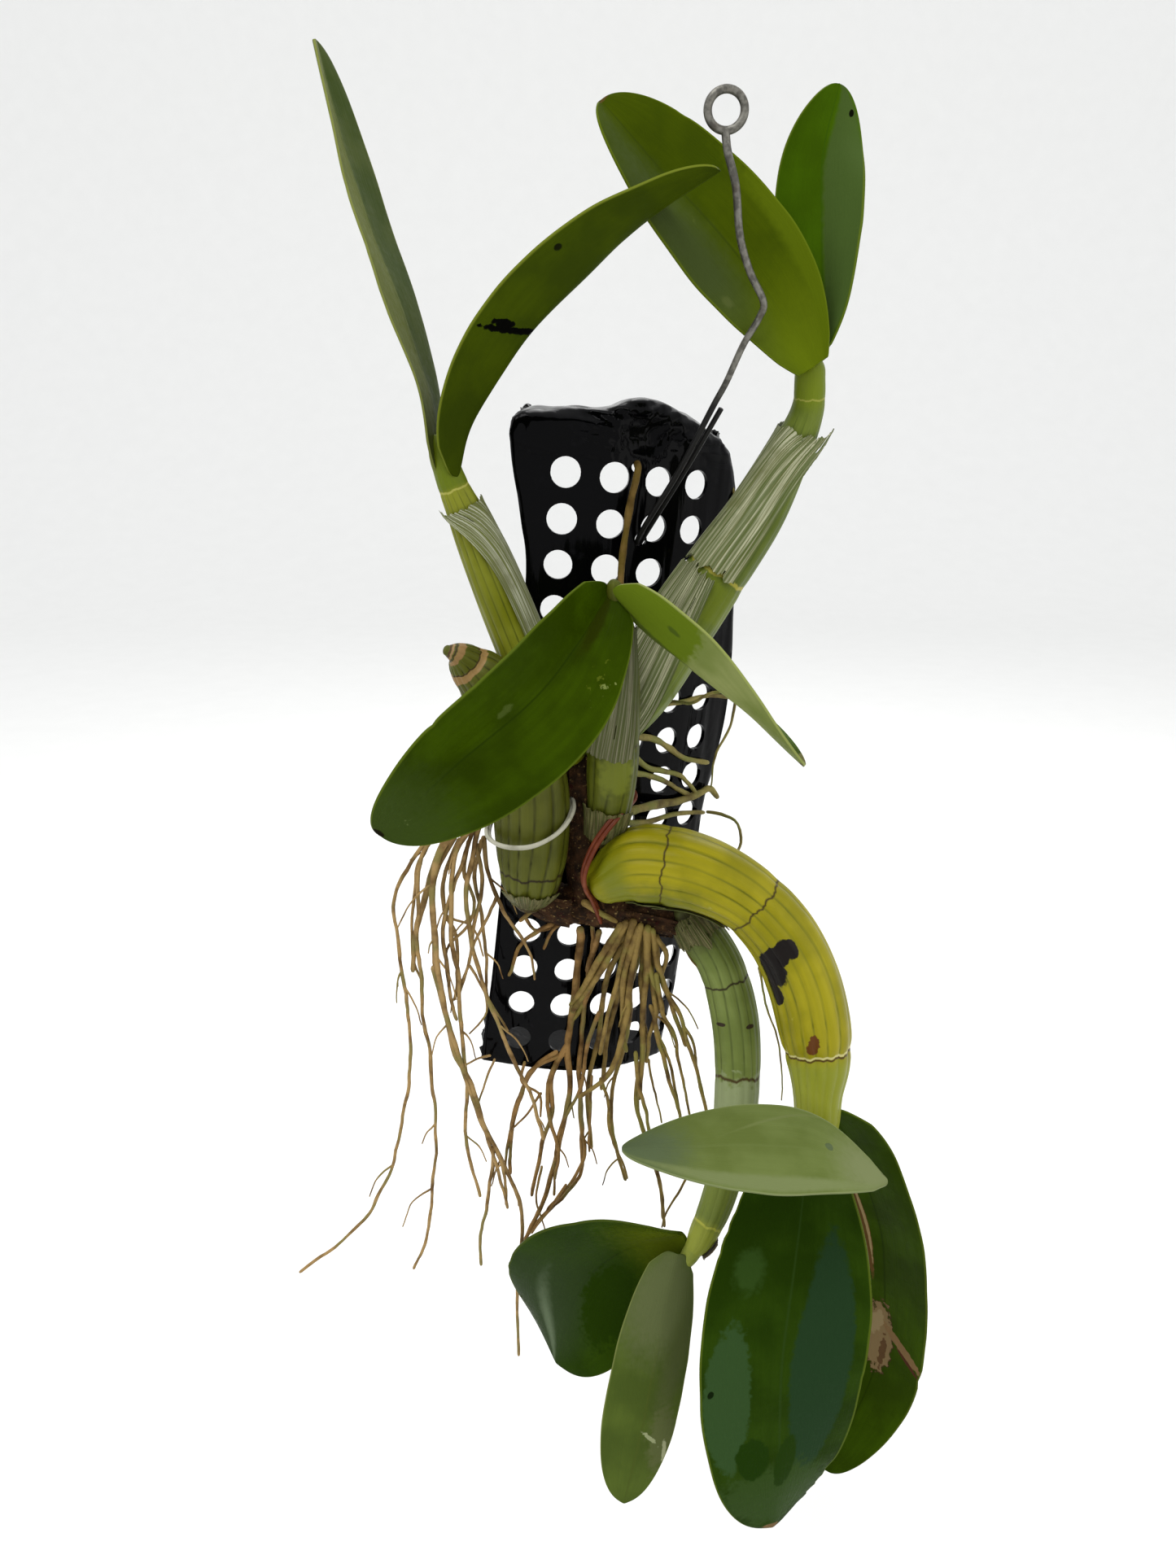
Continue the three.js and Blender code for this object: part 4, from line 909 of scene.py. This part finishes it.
def tie_skin(name, clean, worn, roughness):
    """Plastic-covered garden wire: smooth, with a little grime."""
    made, tree, shader = material(name)
    body = millimetres(tree)
    coats = [(mottle(tree, body, 5, 0.45, 0.75), worn, 1)]
    grit = cloud(tree, body, 1 / 0.7, 3)
    surface(tree, shader, clean, coats, {"Roughness": roughness, "Specular IOR Level": 0.2}, grit, 0.12)
    return made


def plaster():
    """Matt studio floor."""
    made, tree, shader = material("pale_studio_floor")
    grain = cloud(tree, millimetres(tree), 50, 2)
    surface(tree, shader, "#f6f6f4", [(grain, "#f2f2f0", 1)], {"Roughness": 0.9})
    return made


# Camera and studio


def studio():
    """Camera, a floor that bends up into a wall, and soft light."""
    bpy.ops.object.camera_add(location=CAMERA_AT, rotation=(math.radians(90 - CAMERA_DIP), 0, 0))
    camera = bpy.context.object
    camera.data.lens = CAMERA_LENS
    camera.data.sensor_width = CAMERA_SENSOR
    bpy.context.scene.camera = camera
    deselect()
    bpy.ops.mesh.primitive_plane_add(size=2 * FLOOR_HALF, location=(0, 0, FLOOR_LEVEL))
    floor = bpy.context.object
    floor.name = "studio_floor"
    for polygon in floor.data.polygons:
        polygon.select = False
    for edge in floor.data.edges:
        edge.select = all(floor.data.vertices[v].co.y > 0 for v in edge.vertices)
    for vertex in floor.data.vertices:
        vertex.select = vertex.co.y > 0
    bpy.ops.object.mode_set(mode="EDIT")
    bpy.ops.mesh.select_mode(type="EDGE")
    bpy.ops.mesh.extrude_region_move(TRANSFORM_OT_translate={"value": (0, 0, WALL_HIGH)})
    bpy.ops.object.mode_set(mode="OBJECT")
    modify(floor, "BEVEL", width=FLOOR_BEND, segments=24, limit_method="ANGLE")
    smooth_faces(floor, 60)
    floor.data.materials.append(plaster())
    world = bpy.data.worlds.new("studio_light")
    world.use_nodes = True
    world.node_tree.nodes["Background"].inputs["Color"].default_value = linear("#fafbfd")
    world.node_tree.nodes["Background"].inputs["Strength"].default_value = WORLD_LIGHT
    bpy.context.scene.world = world
    bpy.context.scene.view_settings.view_transform = "Standard"
    for name, at, target, size, power, tint in LAMPS:
        bpy.ops.object.light_add(type="AREA", location=at)
        lamp = bpy.context.object
        lamp.name = name + "_lamp"
        lamp.rotation_euler = (Vector(target) - Vector(at)).to_track_quat("-Z", "Y").to_euler()
        lamp.data.size = size
        lamp.data.energy = power
        lamp.data.color = linear(tint)[:3]


# Leaves


def even_line(points, count):
    """Shares of a smooth line that are closer at its ends: points and the ways ahead at each of them."""
    fine = np.array([on_line(points, s) for s in np.linspace(0, 1, 200)])
    run = np.r_[0, np.cumsum(np.linalg.norm(np.diff(fine, axis=0), axis=1))]
    shares = [(1 - math.cos(math.pi * i / count)) / 2 for i in range(count + 1)]
    at = np.array([[np.interp(t * run[-1], run, fine[:, k]) for k in range(3)] for t in shares])
    ahead = np.array([unit(v) for v in np.gradient(at, axis=0)])
    return shares, at, ahead, run[-1]


def breadth(leaf, t):
    """Half width at a share of the length, against the full half width."""
    foot, belly = leaf["foot"], leaf["belly"]
    if t < belly:
        rounding = 1 - leaf.get("pinch", LEAF_PINCH) * (1 - math.sqrt(min(t / LEAF_FOOT, 1)))
        return rounding * (foot + (1 - foot) * (1 - (1 - t / belly) ** 2))
    return math.sqrt(max(1 - ((t - belly) / (1 - belly)) ** leaf["blunt"], 0))


def blade(name, leaf, seed):
    """A leaf: a sheet that is turned and folded along its rib, with nicks and thinner edges."""
    shares, at, ahead, length = even_line(leaf["rib"], LEAF_ROWS)

    def place(x, y):
        i = round(x * LEAF_ROWS)
        t = shares[i]
        to_viewer = np.array([0, -1.0, 0])
        to_viewer = unit(to_viewer - to_viewer.dot(ahead[i]) * ahead[i])
        level = np.cross(ahead[i], to_viewer)
        cos, sin = turned(on_line([[r] for r in leaf["roll"]], t)[0])
        face = to_viewer * cos + level * sin
        across = level * cos - to_viewer * sin
        side = 1 - 2 * y
        half = max(leaf["wide"] / 2 * breadth(leaf, t), 0.4)
        for nick_side, nick_at, nick_long, nick_deep in leaf.get("nicks", []):
            if side * nick_side > 0:
                half -= nick_deep * math.exp(-(((t - nick_at) * length / nick_long) ** 2)) * abs(side) ** 6
        half += LEAF_WAVE * swell((t * length / 14, side, 0), seed) * abs(side) ** 4 * breadth(leaf, t)
        fold_cos, fold_sin = turned(leaf["fold"][0] + (leaf["fold"][1] - leaf["fold"][0]) * t)
        # the fold is rounded at the rib
        keel = math.sqrt(side * side + 0.012) - math.sqrt(0.012)
        ripple = LEAF_RIPPLE * swell((t * length / 30, 1.3 * side, 0.5), seed) * min(1, 4 * t, 4 * (1 - t))
        spot = at[i] + half * (side * fold_cos * across + keel * fold_sin * face) + ripple * face
        return spot, (t, (side + 1) / 2)

    made = sheet(name + "_blade", LEAF_ROWS, LEAF_COLUMNS, place)
    thick = made.vertex_groups.new(name="thick")
    for vertex in made.data.vertices:
        side = abs(1 - 2 * (vertex.index // (LEAF_ROWS + 1)) / LEAF_COLUMNS)
        thick.add([vertex.index], 1 - LEAF_THINNING * side ** 4, "REPLACE")
    deep, fresh, under_deep, under_fresh, rib, edge = leaf["colours"]
    rough, wide = leaf["roughness"], leaf["wide"]
    scars = leaf.get("scars", [])
    # stains, among them the painted reflections, sheen and shade, go on the face to the viewer only; scars go
    # through to both faces
    above, below = leaf.get("marks", []) + scars, scars
    if abs(leaf["roll"][1]) > 90:
        above, below = below, above
    upper = leaf_skin(name + "_upper_cuticle", length, wide, (deep, fresh, rib, edge), rough, above)
    under_colours = (under_deep, under_fresh, rib, edge)
    under = leaf_skin(name + "_under_cuticle", length, wide, under_colours, rough + 0.08, below)
    made.data.materials.append(upper)
    made.data.materials.append(under)
    modify(
        made, "SOLIDIFY", thickness=LEAF_THICK * MM, offset=0, material_offset=1, material_offset_rim=0,
        vertex_group="thick", thickness_vertex_group=0.1,
    )
    if "neck" in leaf:
        neck = limb(name + "_neck", leaf["neck"], NECK_RINGS, NECK_AROUND)
        neck.data.materials.append(under)
        made = joined(made.name, [made, neck])
    smooth_faces(made, 50)
    return made


# Pseudobulbs, wires and roots


def stations(points, count):
    """Places up a limb: centre, radius, two directions across (the first to the viewer) and the way ahead."""
    line = [on_line(points, i / count) for i in range(count + 1)]
    ahead = np.gradient(np.array(line)[:, :3], axis=0)
    side = np.array([0, -1.0, 0])
    if abs(unit(ahead[0])[1]) > 0.9:
        side = np.array([1.0, 0, 0])
    made = []
    for at, way in zip(line, ahead):
        way = unit(way)
        side = unit(side - side.dot(way) * way)
        made.append((at[:3], at[3], side, np.cross(way, side), way))
    return made


def limb(name, points, rings, around, shape=lambda t, turn: 1.0, ends=(0.7, 0.7), caps=4):
    """A closed tube rolled up from a grid; shape(t, turn) gives what the radius is multiplied by."""
    line = stations(points, rings)

    def place(x, y):
        i = round(x * (rings + 2 * caps)) - caps
        turn = (y - 0.5) * 2 * math.pi
        k = min(max(i, 0), rings)
        at, radius, side, over, way = line[k]
        beyond = max(-i, i - rings, 0) / caps
        radius = radius * shape(k / rings, turn) * math.cos(beyond * math.pi / 2)
        if beyond:
            end = ends[0] if i < 0 else ends[1]
            at = at + way * (1 if i > 0 else -1) * math.sin(beyond * math.pi / 2) * end * line[k][1]
        spot = at + radius * (math.cos(turn) * side + math.sin(turn) * over)
        return spot, (k / rings, y)

    made = sheet(name, rings + 2 * caps, around, place)
    edit(
        made,
        (bpy.ops.mesh.remove_doubles, dict(threshold=0.00002)),
        (bpy.ops.mesh.normals_make_consistent, dict(inside=False)),
    )
    return made


def line_length(points):
    fine = np.array([on_line(points, s)[:3] for s in np.linspace(0, 1, 100)])
    return float(np.linalg.norm(np.diff(fine, axis=0), axis=1).sum())


def rib_height(look, turn, t, seed):
    """1 on a rib of a bulb and 0 down in a groove."""
    angle = turn + 0.16 * math.sin(2 * turn + seed) + 0.1 * math.sin(5 * t + seed) + 0.05 * math.sin(14 * t)
    return abs(math.cos(look["ribs"] * angle / 2)) ** 0.7


def rib_fade(t):
    return min(1, 5 * (1 - t) + 0.1, 6 * t + 0.4)


def bulb(name, points, look, seed):
    """A pseudobulb: a ribbed limb with a waist at each joint, and the depth of its grooves kept as an
    attribute for their painted shade.
    """
    def shape(t, turn):
        ribbed = look["flute"] * rib_fade(t) * (rib_height(look, turn, t, seed) - 0.65)
        lumps = 0.03 * swell((6 * t, math.cos(turn), math.sin(turn)), seed)
        waist = sum(-0.025 * math.exp(-(((t * length - at) / 2.2) ** 2)) for at, _, _ in look["joints"])
        return 1 + ribbed + lumps + waist

    length = line_length(points)
    girth = 2 * math.pi * float(np.mean([p[3] for p in points]))
    made = limb(name + "_stem", points, BULB_RINGS, BULB_AROUND, shape, (0.7, look["tip"]), BULB_CAPS)
    groove = made.data.attributes.new("groove", "FLOAT", "POINT")
    layer = made.data.uv_layers[0].data
    values = np.zeros(len(made.data.vertices), np.float32)
    for loop in made.data.loops:
        t, y = layer[loop.index].uv
        values[loop.vertex_index] = (1 - rib_height(look, (y - 0.5) * 2 * math.pi, t, seed)) * rib_fade(t)
    groove.data.foreach_set("value", values)
    smooth_faces(made, 60)
    dress(made, look["slot"], [bulb_skin(name + "_rind", length, girth, look)], name)


def husk(name, points, span, left, right, sweep, gap, spike, seed, off=1.0):
    """Torn fibrous sheath round a line: a thin sheet with long slits and frayed ends."""
    line = stations(points, HUSK_STEPS)

    def place(x, y):
        fray = 0.014 * swell((y * 14, 0, 1), seed) + 0.008 * swell((y * 45, 3, 1), seed)
        t = span[0] + (span[1] - span[0]) * x + fray * (x ** 6 + (1 - x) ** 6)
        pointed = math.exp(-(((y - spike[0]) / 0.07) ** 2)) * x ** 5
        t += spike[1] * pointed
        at, radius, side, over, _ = line[min(max(round(t * HUSK_STEPS), 0), HUSK_STEPS)]
        turn = math.radians(left[0] + (left[1] - left[0]) * x ** sweep)
        turn += (math.radians(right[0] + (right[1] - right[0]) * x ** sweep) - turn) * y
        lift = off + 0.22 * swell((turn * 2.4, t * 9, 0), seed) + 0.8 * abs(2 * y - 1) ** 8 + 0.4 * x ** 12
        lift += spike[2] * pointed + 0.12 * swell((turn * 14, t * 4, 2), seed)
        spot = at + (radius + lift) * (math.cos(turn) * side + math.sin(turn) * over)
        return spot, (x, y)

    made = sheet(name, HUSK_ROWS, HUSK_COLUMNS, place)
    layer = made.data.uv_layers[0].data
    for vertex in made.data.vertices:
        vertex.select = False
    for edge in made.data.edges:
        edge.select = False
    for polygon in made.data.polygons:
        x, y = np.mean([layer[k].uv for k in polygon.loop_indices], axis=0)
        cut = swell((x * 2.2, y * 17, 5), seed) + 0.5 * swell((x * 3, y * 31, 8), seed)
        polygon.select = cut > 0.62 - gap + 0.25 * math.sin(math.pi * x)
    pick(made)
    bpy.ops.object.mode_set(mode="EDIT")
    bpy.ops.mesh.select_mode(type="FACE")
    bpy.ops.mesh.delete(type="FACE")
    bpy.ops.object.mode_set(mode="OBJECT")
    modify(made, "SOLIDIFY", thickness=HUSK_THICK * MM, offset=0)
    smooth_faces(made, 50)
    return made


def scraps(spots, gap, spike, off):
    """Torn scales with straight edges, at listed spots."""
    return [
        husk("scrap", line, span, (turn, turn), (turn + wide, turn + wide), 1, gap, spike, seed, off)
        for seed, (line, span, turn, wide) in enumerate(spots)
    ]


def gnarled(t, turn):
    knots = swell((9 * t, 1.6 * math.cos(turn), 1.6 * math.sin(turn)), 2)
    return 1 + 0.22 * knots + 0.1 * swell((30 * t, 4 * math.cos(turn), 4 * math.sin(turn)), 2)


def wandered(points, thick, thin, seed, stray=1.0):
    """Root line that strays a little from its points, with its radius at each place."""
    count = max(8, int(line_length(points) / ROOT_STEP))
    made = []
    for i in range(count + 1):
        t = i / count
        at = on_line(points, t)
        bend = Vector(at) * 0.055
        loose = stray * min(1, 5 * t)
        drift = [loose * 1.3 * swell(bend + Vector((9 * k, 0, 0)), seed) for k in range(3)]
        wobble = [loose * 0.3 * swell(bend * 4 + Vector((0, 9 * k, 0)), seed) for k in range(3)]
        radius = (thick + (thin - thick) * t) * (1 + 0.22 * swell(bend * 3, seed + 5))
        made.append([*(at + np.array(drift) + np.array(wobble)), radius])
    return made


def root(name, line, around=7):
    return limb(name, line, len(line) - 1, around, ends=(1.0, 1.6), caps=2)


def bunch(name, strands, seed, rootlets):
    """Root bunch: its listed strands, and short seeded rootlets on the longer ones."""
    draw = random.Random(seed)
    grown = []
    for order, (thick, thin, points) in enumerate(strands):
        line = wandered(points, thick, thin, seed + 1.3 * order, 1.0 if thick < 1.5 else 0.5)
        grown.append(root(name, line))
        for _ in range(int(line_length(points) / 100 * rootlets * draw.uniform(0.6, 1.4))):
            start = line[int(len(line) * draw.uniform(0.25, 0.95))]
            reach = draw.uniform(6, 20)
            swing = draw.choice((-1, 1)) * draw.uniform(0.2, 0.8)
            tip = (start[0] + swing * reach, start[1] + draw.uniform(-3, 2), start[2] - reach)
            middle = (start[0] + 0.65 * swing * reach, start[1] - 1, start[2] - 0.4 * reach)
            thin_line = wandered([start[:3], middle, tip], 0.5, 0.28, seed + order + 40, 0.8)
            grown.append(root(name, thin_line, 5))
    made = joined(name + "_strands", grown)
    smooth_faces(made, 80)
    return made


def hanger():
    """The closed eye, the wire down from it and the end that is twisted back on it."""
    deselect()
    bpy.ops.mesh.primitive_torus_add(
        major_radius=EYE_RADIUS * MM, minor_radius=WIRE_RADIUS * MM, major_segments=56, minor_segments=16,
        location=(0, 0, (WIRE_RADIUS - EYE_RADIUS) * MM), rotation=(math.radians(90), 0, 0),
    )
    wires = [bpy.context.object]
    bpy.ops.object.transform_apply(location=True, rotation=True, scale=True)
    for path, thick, thin in ((WIRE_DOWN, WIRE_RADIUS, 1.0), (WIRE_BACK, 1.0, 0.9)):
        line = [(*p, thick + (thin - thick) * i / (len(path) - 1)) for i, p in enumerate(path)]
        wires.append(limb("wire", line, WIRE_RINGS, WIRE_AROUND, ends=(0.4, 0.4)))
    made = joined("hanger_wire_strands", wires)
    smooth_faces(made, 60)
    return made


def twin(name, points, radius, apart, twist):
    """Two strands of wire that run side by side and turn slowly round each other."""
    line = stations([(*p, radius) for p in points], WIRE_RINGS)
    pair = []
    for hand in (-1, 1):
        shifted = []
        for i, (at, _, side, over, _) in enumerate(line):
            cos, sin = turned(90 + twist * i / WIRE_RINGS)
            shifted.append([*(at + hand * apart * (cos * side + sin * over)), radius])
        pair.append(limb(name, shifted, WIRE_RINGS, TIE_AROUND, ends=(0.4, 0.4)))
    made = joined(name + "_strands", pair)
    smooth_faces(made, 60)
    return made


# Tray


def held(value):
    return min(max(value, 0), 1)


def tray_point(across, back, up):
    cos, sin = turned(TRAY_LEAN)
    x, y, z = TRAY_FOOT
    return np.array([x + across * cos + up * sin, y + back, z - across * sin + up * cos])


def tray_bend(across):
    return between(TRAY_CURVE, across, 6)


def slumped(across, back, up, whole):
    """Folds and ridges of the softened top wall, its hollow, and draw lines, strongest on the right."""
    free = 1 - whole ** 8
    high = held((up - TRAY_HIGH + 10) / 24)
    # what divides across and up is the length of a wave, in mm
    flow = swell((across / 16, up / 5 + across / 40, 0), 3) + 0.6 * swell((across / 7, up / 3, 4), 3)
    slump = swell((across / 20, 5 * whole + across / 50, 2), 3) + 0.5 * swell((across / 8, 10 * whole, 4), 3)
    back += free * high * (1.4 * flow + 0.6 * math.sin(across / 5))
    # ridges run along the top wall and dip at the hollow
    dip = 6 * math.exp(-(((across - 27) / 11) ** 2))
    fold = math.sin(1.25 * (up + dip) + 1.6 * math.sin(across / 12)) * held((across + 6) / 16)
    back += free * 0.55 * fold * held((up + dip - 250) / 5)
    up += high * (1.4 * slump * min(1, 4 * whole) + math.sin(across / 11 + 4.6) + 0.8 * flow)
    at, level, half_wide, half_high, deep = HOLLOW
    back += free * deep * math.exp(-(((across - at) / half_wide) ** 2) - ((up - level) / half_high) ** 2)
    drawn = swell((across / 2.2 + back / 3, up / 90, 7), 3) * (0.35 + 0.9 * held((across - 55) / 12) + high)
    return back + free * drawn * 0.6, up, free * drawn * 0.8


def tray_face():
    """Outer skin of the tray."""
    columns = [("left", w) for w in TRAY_WALL_STEPS]
    columns += [("face", f) for f in np.linspace(0, 1, TRAY_FACE_COLUMNS)]
    columns += [("right", w) for w in TRAY_WALL_STEPS[::-1]]
    rows = [("low", (0, w)) for w in TRAY_WALL_STEPS]
    rows += [("face", (f, 0)) for f in np.linspace(0, 1, TRAY_FACE_ROWS)]
    for cos, sin in [turned(90 * i / LIP_STEPS) for i in range(1, LIP_STEPS + 1)]:
        rows.append(("high", (sin, LIP_SHARE * (1 - cos))))
    rows += [("high", (1, LIP_SHARE + (1 - LIP_SHARE) * i / TOP_STEPS)) for i in range(1, TOP_STEPS + 1)]

    def place(x, y):
        where, share = columns[round(x * (len(columns) - 1))]
        kind, (level, wall_up) = rows[round(y * (len(rows) - 1))]
        upright, rounding = TRAY_BOTTOM + (TRAY_HIGH - TRAY_BOTTOM) * level, 0.0
        if kind == "high":
            upright = TRAY_HIGH + 10 * level
            rounding = TOP_CORNER * (1 - math.sqrt(1 - level ** 2))
        left = between(TRAY_LEFT, upright, 8) + rounding
        right = between(TRAY_RIGHT, upright, 8) - 0.6 * rounding
        across = left if where == "left" else right
        if where == "face":
            across = left + TRAY_CORNER / 2 + (right - left - TRAY_CORNER) * share
        up = low = between(TRAY_LOW, across)
        if kind == "face":
            up = low + 1.2 + (TRAY_HIGH - low - 1.2) * level
        if kind == "high":
            up = TRAY_HIGH + level * (between(TRAY_RIM_HIGH, across, 4) - TRAY_HIGH)
            up -= 1.5 * level * math.exp(-(across - left) / 3)
        whole = 1 - (1 - wall_up) * (1.0 if where == "face" else 1 - share)
        curve = tray_bend(across)
        back, up, aside = slumped(across, curve + (TRAY_DEEP - curve) * whole, up, whole)
        if where != "face":
            across += aside
        if whole > 0.999:
            back = TRAY_DEEP
        return tray_point(across, back, up), (x, y)

    return sheet("tray_shell", len(columns) - 1, len(rows) - 1, place)


def tray():
    shell = tray_face()
    modify(shell, "SOLIDIFY", thickness=TRAY_WALL * MM, offset=-1)
    for vertex in shell.data.vertices:
        vertex.co.y = min(vertex.co.y, (TRAY_FOOT[1] + TRAY_DEEP) * MM)
    draw = random.Random(4)
    holes = [WIRE_HOLE, BOSS_HOLE]
    for row in range(HOLE_ROWS):
        for across in HOLE_COLUMNS if row < LAST_COLUMN_ROWS else HOLE_COLUMNS[:-1]:
            size = HOLE_ACROSS * draw.uniform(0.95, 1.04)
            holes.append((across, row * HOLE_STEP - HOLE_DROP * across, size))
    drills = []
    for across, up, size in holes:
        slope = (tray_bend(across + 5) - tray_bend(across - 5)) / 10
        cos, sin = turned(TRAY_LEAN)
        out = Vector((slope * cos, -1, -slope * sin)).normalized()
        deselect()
        bpy.ops.mesh.primitive_cylinder_add(vertices=HOLE_SIDES, radius=size / 2 * MM, depth=DRILL_LONG * MM)
        drill = bpy.context.object
        turn = out.to_track_quat("Z", "Y")
        centre = Vector(tray_point(across, tray_bend(across), up)) * MM
        # the moulded holes are a little out of round
        for vertex in drill.data.vertices:
            flat = Vector((vertex.co.x * draw.uniform(0.985, 1.015), vertex.co.y * 1.01, vertex.co.z))
            vertex.co = turn @ flat + centre
        drills.append(drill)
    drill = joined("tray_drills", drills)
    modify(shell, "BOOLEAN", operation="DIFFERENCE", object=drill, solver="MANIFOLD")
    bpy.data.objects.remove(drill)
    smooth_faces(shell, 48)
    return shell


# Making

studio()

for seed, (name, leaf) in enumerate(LEAVES.items()):
    dress(blade(name, leaf, 3.7 * seed), "leaf_green", [], name)

for seed, (name, points) in enumerate(BULBS.items()):
    bulb(name, points, BULB_LOOKS[name], 1.7 * seed)

for seed, (name, spec) in enumerate(SHEATHS.items()):
    points = BULBS[spec["line"]]
    made = husk(
        name + "_fibres", points, spec["span"], spec["left"], spec["right"], spec["sweep"], spec["open"],
        spec["spike"], seed,
    )
    length = line_length(points) * (spec["span"][1] - spec["span"][0])
    skin = husk_skin(name + "_bleached_fibre", length, SHEATH_GIRTH, *spec["colours"])
    dress(made, "dry_sheath", [skin], name)

foot_scales = joined("foot_scales_fibres", scraps(FOOT_SCALES, 0.2, (0.4, 0.02, 1.0), 0.7))
dress(foot_scales, "dry_sheath", [husk_skin("foot_scale_fibre", 40, 30, "#747048", "#443e22", "#3c4416")])
bract = husk(
    "neck_bract", BULBS["bulb_f"], (0.88, 1.0), (-130, -120), (-62, -74), 1, 0.1, (0.5, 0.02, 1.0), 6,
)
dress(bract, "dry_sheath", [husk_skin("neck_bract_fibre", 20, 30, "#8a8270", "#5a4a34", "#3c2c18")])

dress(tray(), "black_plastic", [black_plastic()], "tray")
dress(hanger(), "zinc_wire", [zinc_wire()], "hanger_wire")

white = tie_skin("white_covered_wire", "#a8a694", "#7e7c6a", 0.4)
brown = tie_skin("brown_covered_wire", "#5c2610", "#743a20", 0.35)
dress(twin("tie_white", WHITE_TIE, 0.85, 0.75, 100), "white_plastic", [white], "tie_white")
dress(twin("tie_brown", BROWN_TIE, 0.95, 0.85, 160), "copper_wire", [brown], "tie_brown")

stems = [limb("stem", line, RHIZOME_RINGS, RHIZOME_AROUND, gnarled) for line in (RHIZOME_UP, RHIZOME_ALONG)]
rhizome = joined("rhizome_bark", stems + scraps(RHIZOME_SCALES, 0.25, (0.5, 0.05, 1.5), 0.6))
smooth_faces(rhizome, 60)
dress(rhizome, "bark", [bark_skin()], "rhizome")

for seed, (name, strands) in enumerate(ROOTS.items()):
    pale, dark, green, slot, rootlets = ROOT_LOOKS[name]
    made = bunch(name, strands, 11 * seed + 5, rootlets)
    dress(made, slot, [root_skin(name + "_cork", pale, dark, green)], name)
gold = root("root_gold_strand", wandered(GOLD_ROOT, 1.45, 1.25, 2, 0.4), 10)
smooth_faces(gold, 80)
dress(gold, "root_pale", [root_skin("root_gold_cork", "#70592a", "#46340f", "#62501c")], "root_gold")
